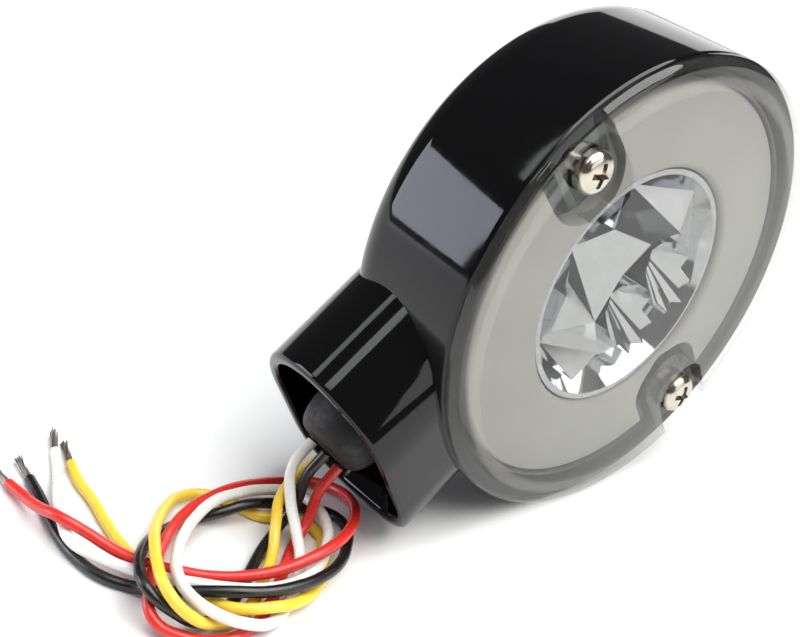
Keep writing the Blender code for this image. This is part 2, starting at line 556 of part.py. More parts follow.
def make_reflector():
    """Metallised bowl with a flange under the light guide and two cups for the amber LEDs."""
    lip = GUIDE_INNER - GAP
    lip_inner = lip - REFLECTOR_WALL
    floor_back = REFLECTOR_DEPTH + REFLECTOR_WALL
    profile = [(0.0, floor_back), (REFLECTOR_FLOOR_RADIUS + REFLECTOR_WALL, floor_back), (lip, FLANGE_BACK),
               (GUIDE_OUTER, FLANGE_BACK), (GUIDE_OUTER, FLANGE_FRONT), (lip, FLANGE_FRONT),
               (lip, GUIDE_FRONT), (lip_inner, GUIDE_FRONT), (REFLECTOR_FLOOR_RADIUS, REFLECTOR_DEPTH),
               (0.0, REFLECTOR_DEPTH)]
    reflector = turned("reflector", profile, CHROME, DRUM_SIDES)
    pocket_notches("reflector_notch", reflector, 0.0, floor_back)
    cut(reflector, rods("ring_windows", ring_places(RING_LED_PLACE), RING_WINDOW_RADIUS, 0.0, floor_back,
                        sides=12))
    for number, spot in enumerate(CUP_PLACES, 1):
        join(reflector, rods(f"cup_solid_{number}", [spot], CUP_TOP_RADIUS + CUP_WALL, CUP_TOP,
                             REFLECTOR_DEPTH + REFLECTOR_WALL / 2, sides=24,
                             top_radius=CUP_FLOOR_RADIUS + CUP_WALL))
    for number, spot in enumerate(CUP_PLACES, 1):
        cut(reflector, turned(f"cup_hollow_{number}",
                              [(0.0, 2 * floor_back), (CUP_FLOOR_RADIUS, 2 * floor_back),
                               (CUP_FLOOR_RADIUS, REFLECTOR_DEPTH), (CUP_TOP_RADIUS, CUP_TOP),
                               (CUP_TOP_RADIUS, -LENS_PROUD), (0.0, -LENS_PROUD)],
                              None, 24, True, middle=spot))


def make_board():
    """Round circuit board with notches for the screw posts, and the pieces soldered to it."""
    board = turned("led_board", [(0.0, BOARD_BACK), (BOARD_RADIUS, BOARD_BACK), (BOARD_RADIUS, BOARD_FRONT),
                                 (0.0, BOARD_FRONT)], BOARD_GREEN, DRUM_SIDES)
    cut(board, rods("board_notches", SCREW_PLACES, POST_RADIUS + SCREW_CLEAR, 0.0, 2 * BOARD_BACK, sides=24))
    clear = BOARD_SCREW_SHANK_RADIUS + SCREW_CLEAR
    cut(board, rods("board_holes", BOARD_SCREW_PLACES, clear, 0.0, 2 * BOARD_BACK, sides=12))

    led_back = BOARD_FRONT - GAP
    width, length, height = RING_LED_SIZE
    for number in range(RING_LED_COUNT):
        turn = -2 * pi * (number + 0.5) / RING_LED_COUNT
        block(f"ring_led_{number + 1}", (RING_LED_PLACE, led_back - height / 2, 0.0),
              (width, height, length), WHITE_DIODE, turn=turn)
    for number, spot in enumerate(CUP_PLACES, 1):
        dome_front = led_back - CUP_LED_HEIGHT
        body = [(0.0, led_back), (CUP_LED_RADIUS, led_back)]
        rise = CUP_LED_RADIUS * 0.7
        for step in range(5):
            angle = step / 4 * pi / 2
            body.append((CUP_LED_RADIUS * cos(angle), dome_front + rise - rise * sin(angle)))
        body[-1] = (0.0, dome_front)
        turned(f"cup_led_{number}", body, AMBER, 16, middle=spot)

    rear = BOARD_BACK + GAP
    for name, x, z, size in (("driver_chip", 4.0, 8.0, (5.0, 1.5, 4.0)),
                             ("diode", -6.0, 3.0, (4.4, 2.1, 2.6)),
                             ("resistor_1", 9.0, 0.0, (3.2, 0.6, 1.6)),
                             ("resistor_2", 9.0, -4.0, (3.2, 0.6, 1.6)),
                             ("resistor_3", 9.0, -8.0, (3.2, 0.6, 1.6))):
        block(name, (x * MM, rear + size[1] * MM / 2, z * MM), [s * MM for s in size], BLACK_EPOXY)
    can = 3.1 * MM
    can_height = 5.8 * MM
    turned("capacitor", [(0.0, rear + can_height), (can * 0.85, rear + can_height),
                         (can, rear + can_height * 0.92), (can, rear), (0.0, rear)], STEEL, 20,
           middle=(-4.0 * MM, -9.0 * MM))


def pan_screw(name, spot, seat, head_radius, head_height, shank_radius, shank_length):
    """A pan-head screw whose head's underside is at depth seat, driven along +Y."""
    top = seat - head_height
    round_off = head_height * 0.55
    edge = arc((head_radius - round_off, top + round_off), round_off, 0, -90, 3)
    profile = [(0.0, seat + shank_length), (shank_radius * 0.6, seat + shank_length),
               (shank_radius, seat + shank_length - shank_radius), (shank_radius, seat), (head_radius, seat)]
    screw = turned(name, profile + edge + [(0.0, top)], STEEL, 20, middle=spot)
    blade = head_radius * 0.26
    reach = head_radius * 0.62
    depth = head_height * 0.5
    cross = [(blade, blade), (blade, reach), (-blade, reach), (-blade, blade), (-reach, blade),
             (-reach, -blade), (-blade, -blade), (-blade, -reach), (blade, -reach), (blade, -blade),
             (reach, -blade), (reach, blade)]
    outline = [(spot[0] + x, spot[1] + z) for x, z in reversed(cross)]
    cut(screw, flat_piece(f"{name}_recess", outline, top - head_height, top + depth, None, True))


def make_screws():
    for number, spot in enumerate(SCREW_PLACES, 1):
        pan_screw(f"lens_screw_{number}", spot, POCKET_FLOOR - GAP, SCREW_HEAD_RADIUS, SCREW_HEAD_HEIGHT,
                  SCREW_SHANK_RADIUS, SCREW_SHANK_LENGTH)
    for number, spot in enumerate(BOARD_SCREW_PLACES, 1):
        pan_screw(f"board_screw_{number}", spot, BOARD_FRONT - GAP, BOARD_SCREW_HEAD_RADIUS,
                  BOARD_SCREW_HEAD_HEIGHT, BOARD_SCREW_SHANK_RADIUS, BOARD_SCREW_SHANK_LENGTH)


def curve_through(stops, step):
    """Evenly spaced points on the smooth curve through stops, about step apart."""
    stops = np.array(stops, dtype=float)
    stops = np.vstack([2 * stops[0] - stops[1], stops, 2 * stops[-1] - stops[-2]])
    knots = np.sqrt(np.linalg.norm(np.diff(stops, axis=0), axis=1))
    fine = []
    for i in range(1, len(stops) - 2):
        before, span, after = knots[i - 1:i + 2]
        away = stops[i + 1] - stops[i]
        slope_in = (stops[i] - stops[i - 1]) / before - (stops[i + 1] - stops[i - 1]) / (before + span)
        slope_out = (stops[i + 2] - stops[i + 1]) / after - (stops[i + 2] - stops[i]) / (span + after)
        leave = away + span * slope_in
        arrive = away + span * slope_out
        for s in np.linspace(0.0, 1.0, 10, endpoint=False):
            fine.append((2 * s ** 3 - 3 * s ** 2 + 1) * stops[i] + (s ** 3 - 2 * s ** 2 + s) * leave
                        + (3 * s ** 2 - 2 * s ** 3) * stops[i + 1] + (s ** 3 - s ** 2) * arrive)
    fine.append(stops[-2])
    return respaced(np.array(fine), step)


def respaced(points, step):
    """The same way along points, with evenly spaced points about step apart."""
    far = np.concatenate([[0.0], np.cumsum(np.linalg.norm(np.diff(points, axis=0), axis=1))])
    even = np.linspace(0.0, far[-1], max(2, round(far[-1] / step) + 1))
    return np.stack([np.interp(even, far, points[:, i]) for i in range(3)], axis=1)


def ease_apart(ways):
    """Shift lead centre lines by a smooth amount until they clear each other, none under the table."""
    owner = np.concatenate([np.full(len(way), i) for i, way in enumerate(ways)])
    count = np.concatenate([np.arange(len(way)) for way in ways])
    start = np.concatenate(ways)
    shift = np.zeros_like(start)
    ends = np.cumsum([len(way) for way in ways])
    reach = 9 * MM / ROUTE_STEP
    same = (owner[:, None] == owner[None]) & (np.abs(count[:, None] - count[None]) < reach)
    for _ in range(EASE_ROUNDS):
        apart = (start + shift)[:, None] - (start + shift)[None]
        distance = np.linalg.norm(apart, axis=2)
        distance[same] = 1.0
        short = np.clip(LEAD_PITCH - distance, 0.0, None)
        crowd = np.maximum((short > 0).sum(axis=1), 1)
        pull = short / np.maximum(distance, 0.05 * MM)
        shift += 0.5 * (apart * pull[:, :, None]).sum(axis=1) / crowd[:, None]
        for low, high in zip(ends - [len(way) for way in ways], ends):
            piece = shift[low:high]
            middle = piece.copy()
            middle[1:-1] = (piece[:-2] + piece[2:]) / 2
            middle[-1] = piece[-2]
            piece += 0.35 * (middle - piece)
            piece[:3] = 0.0
        shift[:, 2] = np.maximum(shift[:, 2], LEAD_REST - start[:, 2])
    return [(start + shift)[low:high] for low, high in zip(ends - [len(way) for way in ways], ends)]


def tube(name, points, radius, material, parent=None):
    """A round bar with capped ends whose centre line runs through points."""
    data = bpy.data.curves.new(f"{name}_guide", 'CURVE')
    data.dimensions = '3D'
    data.bevel_depth = radius
    data.bevel_resolution = 2
    data.use_fill_caps = True
    line = data.splines.new('POLY')
    line.points.add(len(points) - 1)
    for point, spot in zip(line.points, points):
        point.co = (*spot, 1.0)
    guide = bpy.data.objects.new(f"{name}_guide", data)
    bpy.context.scene.collection.objects.link(guide)
    mesh = mesh_of_curve(guide, name)
    smooth(mesh)
    return place(name, mesh, material, parent=parent)


def make_leads():
    """Four leads in a loose overhand knot on the table, and the tinned strands at their tips."""
    bpy.context.view_layer.update()
    exit_face = -GROMMET_NOSE - LEAD_CLEAR
    nose = LIGHT_AXES.matrix_world @ Vector((exit_face, STEM_DEPTH, STEM_RISE))
    ways = []
    for colour, stops in LEAD_ROUTES.items():
        depth, height = [STEM_DEPTH + LEAD_EXITS[colour][0] * MM, STEM_RISE + LEAD_EXITS[colour][1] * MM]
        route = [tuple(LIGHT_AXES.matrix_world @ Vector((x, depth, height)))
                 for x in (exit_face, exit_face - LEAD_STRAIGHT)]
        route += [(nose.x + x * MM, nose.y + y * MM, z * MM) for x, y, z in stops]
        ways.append(curve_through(route, ROUTE_STEP))
    for colour, way in zip(LEAD_ROUTES, ease_apart(ways)):
        way = respaced(way, LEAD_STEP)
        tube(f"lead_{colour}", way, LEAD_RADIUS, LEAD_FINISHES[colour])
        ahead = (way[-1] - way[-2]) / np.linalg.norm(way[-1] - way[-2])
        ahead[2] = 0.0
        tube(f"strands_{colour}", [way[-1] + ahead * GAP, way[-1] + ahead * (GAP + STRAND_LENGTH)],
             STRAND_RADIUS, TINNED)


def make_inner_leads():
    """The same four leads inside, from the grommet's inner flange to the pads behind the board."""
    edge = DRUM_RADIUS - BACK_FILLET
    start = GAP - sqrt(edge ** 2 - STEM_RISE ** 2) + GROMMET_FLANGE_THICK + GAP
    pads = BOARD_BACK + GAP
    for number, (colour, finish_used) in enumerate(LEAD_FINISHES.items()):
        height = STEM_RISE + (number - 1.5) * LEAD_PITCH
        stops = [(start, STEM_DEPTH, height), (start + 3 * MM, STEM_DEPTH, height),
                 (INNER_LEAD_END - 2.5 * MM, STEM_DEPTH - 1.0 * MM, height),
                 (INNER_LEAD_END, pads + 1.5 * MM, height), (INNER_LEAD_END, pads, height)]
        tube(f"inner_lead_{colour}", curve_through(stops, LEAD_STEP), LEAD_RADIUS, finish_used,
             parent=LIGHT_AXES)


make_housing()
make_inserts()
make_grommet()
make_lens()
make_gasket()
make_light_guide()
make_reflector()
make_board()
make_screws()
make_leads()
make_inner_leads()
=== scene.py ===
"""Round turn signal for a motorcycle, put together piece by piece over its CAD frame.

The light's own axes: the drum's axis is Y and the lens faces -Y, the stem runs along -X, and
Y = 0 is the housing's front edge. LIGHT_PLACE lays the light down on the table.
"""
from math import asin, atan2, cos, pi, radians, sin, sqrt, tan

import bmesh
import bpy
import numpy as np
from mathutils import Matrix, Vector


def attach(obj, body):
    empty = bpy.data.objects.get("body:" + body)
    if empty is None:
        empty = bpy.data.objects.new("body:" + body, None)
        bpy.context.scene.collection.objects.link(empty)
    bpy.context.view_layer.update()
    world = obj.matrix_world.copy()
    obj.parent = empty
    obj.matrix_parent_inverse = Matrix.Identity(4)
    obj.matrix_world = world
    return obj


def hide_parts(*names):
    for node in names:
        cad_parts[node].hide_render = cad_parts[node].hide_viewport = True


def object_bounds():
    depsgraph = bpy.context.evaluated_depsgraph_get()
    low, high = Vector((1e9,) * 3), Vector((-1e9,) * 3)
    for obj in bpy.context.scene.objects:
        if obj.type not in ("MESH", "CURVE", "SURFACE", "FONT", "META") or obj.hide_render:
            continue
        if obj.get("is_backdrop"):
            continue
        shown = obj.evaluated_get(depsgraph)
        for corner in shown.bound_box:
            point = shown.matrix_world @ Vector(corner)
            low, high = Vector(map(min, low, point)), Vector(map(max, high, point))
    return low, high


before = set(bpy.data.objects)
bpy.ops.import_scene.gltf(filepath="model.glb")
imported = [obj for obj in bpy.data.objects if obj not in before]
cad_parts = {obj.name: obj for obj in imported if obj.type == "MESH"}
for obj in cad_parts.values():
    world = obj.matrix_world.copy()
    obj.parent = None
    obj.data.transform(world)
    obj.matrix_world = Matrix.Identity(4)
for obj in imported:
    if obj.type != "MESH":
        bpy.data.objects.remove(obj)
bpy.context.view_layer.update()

MM = 0.001


# ---- Camera ----
# Looks down on the light from the stem's side, a short tele lens rolled a little.
camera_data = bpy.data.cameras.new("camera")
camera_data.lens = 66.7
camera_data.sensor_width = 36.0
camera_data.clip_start = 0.01
camera = bpy.data.objects.new("camera", camera_data)
camera.location = (-0.14543, -0.11341, 0.12432)
camera.rotation_euler = (radians(59.85), radians(-10.26), radians(-40.70))
bpy.context.scene.collection.objects.link(camera)
bpy.context.scene.camera = camera


# ---- How the light lies ----
# The finished light lies on the drum's wall and on the stem's lower corner, lens to one side.
DRUM_RADIUS = 34.0 * MM
DRUM_DEPTH = 27.5 * MM
STEM_LENGTH = 42.9 * MM      # drum axis to the middle of the stem's end
STEM_HEIGHT = 29.6 * MM
STEM_RISE = 7.4 * MM         # stem's middle above the drum's axis
STEM_END_ANGLE = radians(8.3)
LENS_RIM = 1.8 * MM
LENS_DOME = 2.5 * MM
LENS_PROUD = LENS_RIM + LENS_DOME

corner_reach = STEM_LENGTH + tan(STEM_END_ANGLE) * STEM_HEIGHT / 2
corner_drop = STEM_HEIGHT / 2 - STEM_RISE
REST_TILT = (asin(DRUM_RADIUS / sqrt(corner_reach ** 2 + corner_drop ** 2))
             - atan2(corner_drop, corner_reach))
top_reach = STEM_LENGTH - tan(STEM_END_ANGLE) * STEM_HEIGHT / 2
span = max(top_reach * cos(REST_TILT) + (STEM_HEIGHT / 2 + STEM_RISE) * sin(REST_TILT),
           corner_reach * cos(REST_TILT) - corner_drop * sin(REST_TILT))
LIGHT_PLACE = (Matrix.Translation(((span - DRUM_RADIUS) / 2, (LENS_PROUD - DRUM_DEPTH) / 2, DRUM_RADIUS))
               @ Matrix.Rotation(-REST_TILT, 4, 'Y'))


# ---- Leads ----
# Four stranded copper leads in soft extruded PVC, 1.5 mm across, in a loose knot.
# They come out of the rubber plug in the stem, and the last 5 mm of each is stripped and tinned.
LEAD_RADIUS = 0.75 * MM
LEAD_POINT_STEP = 4.3 * MM   # spacing of the curve's points
ROUTE_STEP = 1.0 * MM        # spacing at which neighbouring leads are eased apart
LEAD_PITCH = 2 * LEAD_RADIUS + 0.5 * MM
LEAD_REST = LEAD_RADIUS + 0.05 * MM
EASE_ROUNDS = 300
LEAD_CLEAR = 0.6 * MM        # from the plug's nose to the end of a lead
LEAD_STRAIGHT = 1.4 * MM
GROMMET_NOSE = STEM_LENGTH + 1.4 * MM
STEM_FRONT = 0.4 * MM
STEM_WIDTH = 24.0 * MM
STEM_DEPTH = STEM_FRONT + STEM_WIDTH / 2
LEAD_EXITS = {"white": (1.7, 0.9), "yellow": (0.6, -1.9), "black": (-1.2, 0.9), "red": (-2.4, -1.6)}
# The way each lead takes through the loose knot: millimetres off the spot under the nose, and up.
LEAD_ROUTES = {
    "white": (
        (-3.5, 1.5, 9), (-4.5, 0, 6.8), (-5, -1.5, 4.6), (-7, -5, 3), (-8, -7, 1.2),
        (-11, -10, 0.8), (-16.5, -13.5, 1.2), (-20.5, -14.5, 2.6), (-24, -13, 3), (-26, -10.5, 4),
        (-26.5, -7, 4.5), (-24.5, -3, 4.5), (-20, 2, 3.4), (-15.5, 5, 2.8), (-11, 6, 2.8),
        (-6.5, 5.5, 2.2), (-2, 4.5, 1.8), (-0.5, 0.5, 2.6), (-1, -4, 2.8), (-3.5, -7.5, 2.8),
        (-7.5, -10.5, 2.8),
        (-12.5, -11.5, 2.8), (-18, -10, 2.8), (-22.5, -6.5, 2.6), (-26, -2, 2.6), (-29, 3, 2),
        (-31.5, 7.5, 2.4), (-31, 11.5, 2.4), (-29, 17, 1.6), (-25.5, 22.5, 0.8), (-23, 27.5, 0.8)),
    "yellow": (
        (-2.5, 2.3, 6.4), (-5, 1, 5), (-7, -1, 4), (-8.5, -3, 2.8), (-10.5, -5, 0.9),
        (-14, -8, 0.8), (-17.5, -10.5, 0.8), (-20.5, -11.5, 0.8), (-23.5, -11.5, 1.6), (-26.5, -11, 3.4),
        (-28.5, -9, 4.8), (-28.5, -6, 5.8), (-26, -1.5, 5.2), (-22, 4, 3.4), (-16.5, 9.5, 1.6),
        (-12, 11.5, 0.8), (-8.5, 9.5, 0.8), (-7, 6.5, 0.8), (-5.5, 3.5, 0.8), (-2, 1, 0.8), (-1, -2.5, 0.8),
        (-3, -6.5, 0.8), (-6, -10, 0.8), (-11, -13, 1.4), (-17, -14, 2.8), (-20.5, -12.5, 2.8),
        (-22, -9.5, 2), (-23, -5, 0.8), (-24.5, -0.5, 0.8), (-25.5, 3, 0.8), (-25.5, 7, 0.8),
        (-25, 11, 0.8), (-24, 16, 0.8), (-23.5, 21, 0.8), (-22.5, 24.5, 0.8)),
    "black": (
        (-3, -0.5, 8.4), (-3.5, -0.5, 5), (-5.5, -0.5, 1.4), (-9.5, -3, 0.8), (-13, -5.5, 0.8),
        (-16, -7.5, 0.8), (-19, -9, 0.8), (-22, -10, 0.8), (-25, -10.5, 0.8), (-27, -10, 1.6),
        (-28.5, -8.5, 2.8), (-30, -6, 4.4), (-27.5, -1, 3.8), (-23, 4, 2.2), (-17.5, 7, 0.9),
        (-13.5, 7, 0.9), (-10.5, 5, 2.4), (-6, 4.5, 1.8), (-1.5, 3, 0.9), (2, 0.5, 0.8), (2.5, -3.5, 1.2),
        (-0.5, -8, 2.4), (-4.5, -11.5, 2.8), (-8.5, -13, 2.8), (-14, -13.5, 2.8), (-19.5, -12, 2.9),
        (-23, -9, 2.8), (-26, -4.5, 2), (-27.5, -0.5, 0.8), (-30, 3, 0.8), (-31, 7, 0.8), (-31, 11.5, 0.8),
        (-30, 16.5, 0.8), (-29, 21, 0.8), (-28.5, 24, 0.8)),
    "red": (
        (-1.5, -2, 6.2), (-2.5, -2.5, 3.6), (-4.5, -3, 1.2), (-8.5, -6, 0.8),
        (-12, -9, 0.8), (-15.5, -12, 0.8), (-20, -14, 0.8), (-24, -13.5, 0.8), (-26.5, -11.5, 0.8),
        (-28.5, -9.5, 1.6), (-30, -7.5, 3.4), (-28.5, -4.5, 4.2), (-25, -0.5, 3.8), (-20.5, 3.5, 3),
        (-15, 6, 2.8),
        (-10.5, 6.5, 2.8), (-4.5, 7.5, 1.8), (2, 7, 0.8), (5.5, 5, 0.8), (6, 0.5, 1.8), (3.5, -4.5, 3.4),
        (-1, -8.5, 4.2), (-7, -10.5, 4.2), (-11.5, -10, 3.4), (-16.5, -8, 2.8), (-21, -5, 2.6),
        (-25, -1, 2.8), (-28.5, 4.5, 2.6), (-30, 7.5, 2.8), (-32, 10, 4), (-32.5, 16, 2.6),
        (-32, 20, 1.4), (-32, 24, 0.8)),
}


def curve_through(stops, step):
    """Evenly spaced points on the smooth curve through stops, about step apart."""
    stops = np.array(stops, dtype=float)
    stops = np.vstack([2 * stops[0] - stops[1], stops, 2 * stops[-1] - stops[-2]])
    knots = np.sqrt(np.linalg.norm(np.diff(stops, axis=0), axis=1))
    fine = []
    for i in range(1, len(stops) - 2):
        before, span, after = knots[i - 1:i + 2]
        away = stops[i + 1] - stops[i]
        leave = away + span * ((stops[i] - stops[i - 1]) / before
                               - (stops[i + 1] - stops[i - 1]) / (before + span))
        arrive = away + span * ((stops[i + 2] - stops[i + 1]) / after
                                - (stops[i + 2] - stops[i]) / (span + after))
        for s in np.linspace(0.0, 1.0, 10, endpoint=False):
            fine.append((2 * s ** 3 - 3 * s ** 2 + 1) * stops[i] + (s ** 3 - 2 * s ** 2 + s) * leave
                        + (3 * s ** 2 - 2 * s ** 3) * stops[i + 1] + (s ** 3 - s ** 2) * arrive)
    fine.append(stops[-2])
    return respaced(np.array(fine), step)


def respaced(points, step):
    """The same way along points, with evenly spaced points about step apart."""
    far = np.concatenate([[0.0], np.cumsum(np.linalg.norm(np.diff(points, axis=0), axis=1))])
    even = np.linspace(0.0, far[-1], max(2, round(far[-1] / step) + 1))
    return np.stack([np.interp(even, far, points[:, i]) for i in range(3)], axis=1)


def ease_apart(ways):
    """Shift lead centre lines by a smooth amount until they clear each other, none under the table."""
    owner = np.concatenate([np.full(len(way), i) for i, way in enumerate(ways)])
    count = np.concatenate([np.arange(len(way)) for way in ways])
    start = np.concatenate(ways)
    shift = np.zeros_like(start)
    ends = np.cumsum([len(way) for way in ways])
    reach = 9 * MM / ROUTE_STEP
    same = (owner[:, None] == owner[None]) & (np.abs(count[:, None] - count[None]) < reach)
    for _ in range(EASE_ROUNDS):
        apart = (start + shift)[:, None] - (start + shift)[None]
        distance = np.linalg.norm(apart, axis=2)
        distance[same] = 1.0
        short = np.clip(LEAD_PITCH - distance, 0.0, None)
        crowd = np.maximum((short > 0).sum(axis=1), 1)
        pull = short / np.maximum(distance, 0.05 * MM)
        shift += 0.5 * (apart * pull[:, :, None]).sum(axis=1) / crowd[:, None]
        for low, high in zip(ends - [len(way) for way in ways], ends):
            piece = shift[low:high]
            middle = piece.copy()
            middle[1:-1] = (piece[:-2] + piece[2:]) / 2
            middle[-1] = piece[-2]
            piece += 0.35 * (middle - piece)
            piece[:3] = 0.0
        shift[:, 2] = np.maximum(shift[:, 2], LEAD_REST - start[:, 2])
    return [(start + shift)[low:high] for low, high in zip(ends - [len(way) for way in ways], ends)]


ways = []
for colour, stops in LEAD_ROUTES.items():
    depth, height = [STEM_DEPTH + LEAD_EXITS[colour][0] * MM, STEM_RISE + LEAD_EXITS[colour][1] * MM]
    nose = LIGHT_PLACE @ Vector((-GROMMET_NOSE - LEAD_CLEAR, STEM_DEPTH, STEM_RISE))
    route = [tuple(LIGHT_PLACE @ Vector((x, depth, height)))
             for x in (-GROMMET_NOSE - LEAD_CLEAR, -GROMMET_NOSE - LEAD_CLEAR - LEAD_STRAIGHT)]
    route += [(nose.x + x * MM, nose.y + y * MM, z * MM) for x, y, z in stops]
    ways.append(curve_through(route, ROUTE_STEP))
LEAD_WAYS = dict(zip(LEAD_ROUTES, ease_apart(ways)))


def srgb(code):
    """The linear colour of an sRGB hex code."""
    parts = [int(code[i:i + 2], 16) / 255 for i in (0, 2, 4)]
    return (*[p / 12.92 if p <= 0.04045 else ((p + 0.055) / 1.055) ** 2.4 for p in parts], 1.0)


def add_node(material, kind, settings, wires=None):
    """Add a shader node, with its properties or socket values, and the outputs wired to its sockets."""
    node = material.node_tree.nodes.new(kind)
    for name, value in settings.items():
        if isinstance(name, str) and hasattr(node, name):
            setattr(node, name, value)
        else:
            node.inputs[name].default_value = value
    for name, output in (wires or {}).items():
        material.node_tree.links.new(output, node.inputs[name])
    return node


def new_finish(name, colour, roughness, metallic=0.0, ior=1.5):
    """A material whose Principled shader has its even values; its detail is wired in afterwards."""
    made = bpy.data.materials.new(name)
    made.use_nodes = True
    shader = made.node_tree.nodes["Principled BSDF"]
    shader.inputs["Base Color"].default_value = srgb(colour)
    shader.inputs["Roughness"].default_value = roughness
    shader.inputs["Metallic"].default_value = metallic
    shader.inputs["IOR"].default_value = ior
    return made, shader


def mottle(material, shader, grain, light, dark, smooth, rough, bump=0.0):
    """Cloudy colour and roughness over grain metres, and a bump of the same cloud, bump metres high."""
    links = material.node_tree.links
    place = add_node(material, "ShaderNodeTexCoord", {})
    cloud = add_node(material, "ShaderNodeTexNoise", {"Scale": 1 / grain, "Detail": 3.0},
                     {"Vector": place.outputs["Object"]})
    tint = add_node(material, "ShaderNodeMix", {"data_type": "RGBA", 6: srgb(light), 7: srgb(dark)},
                    {0: cloud.outputs["Fac"]})
    links.new(tint.outputs[2], shader.inputs["Base Color"])
    gloss = add_node(material, "ShaderNodeMapRange",
                     {"From Min": 0.3, "From Max": 0.7, "To Min": smooth, "To Max": rough},
                     {"Value": cloud.outputs["Fac"]})
    links.new(gloss.outputs["Result"], shader.inputs["Roughness"])
    if bump:
        relief = add_node(material, "ShaderNodeBump", {"Strength": 1.0, "Distance": bump},
                          {"Height": cloud.outputs["Fac"]})
        links.new(relief.outputs["Normal"], shader.inputs["Normal"])
    return cloud


def lead_finish(name, light, dark):
    """Plasticised PVC: even glossy colour, a little cloudy, with faint ripples from the die."""
    made, shader = new_finish(name, light, 0.3, ior=1.53)
    mottle(made, shader, 1.1 * MM, light, dark, 0.24, 0.4, 0.012 * MM)
    shader.inputs["Specular IOR Level"].default_value = 0.6
    return made


LEAD_FINISHES = {
    "white": lead_finish("white_vinyl", "F1F0EA", "DFDED7"),
    "yellow": lead_finish("yellow_vinyl", "F6D64A", "E9C02F"),
    "black": lead_finish("black_vinyl", "0F0F11", "09090A"),
    "red": lead_finish("red_vinyl", "E2352C", "C9241F"),
}

# Tinned copper: dull silver from the tin, with the copper's warmth where the tin is thin.
TINNED, tinned_shader = new_finish("tinned_copper", "B9B3A8", 0.35, metallic=1.0)
mottle(TINNED, tinned_shader, 0.7 * MM, "C4C0B8", "9A8470", 0.25, 0.45)

STRAND_COUNT = 19
STRAND_RADIUS = 0.09 * MM
STRAND_LENGTH = 4.9 * MM
BUNDLE_RADIUS = 0.42 * MM


def tree_node(tree, kind, settings=None, wires=None):
    """Add a geometry node, with its properties or socket values, and the outputs wired to its sockets."""
    node = tree.nodes.new(kind)
    for name, value in (settings or {}).items():
        if isinstance(name, str) and hasattr(node, name):
            setattr(node, name, value)
        else:
            node.inputs[name].default_value = value
    for name, output in (wires or {}).items():
        tree.links.new(output, node.inputs[name])
    return node


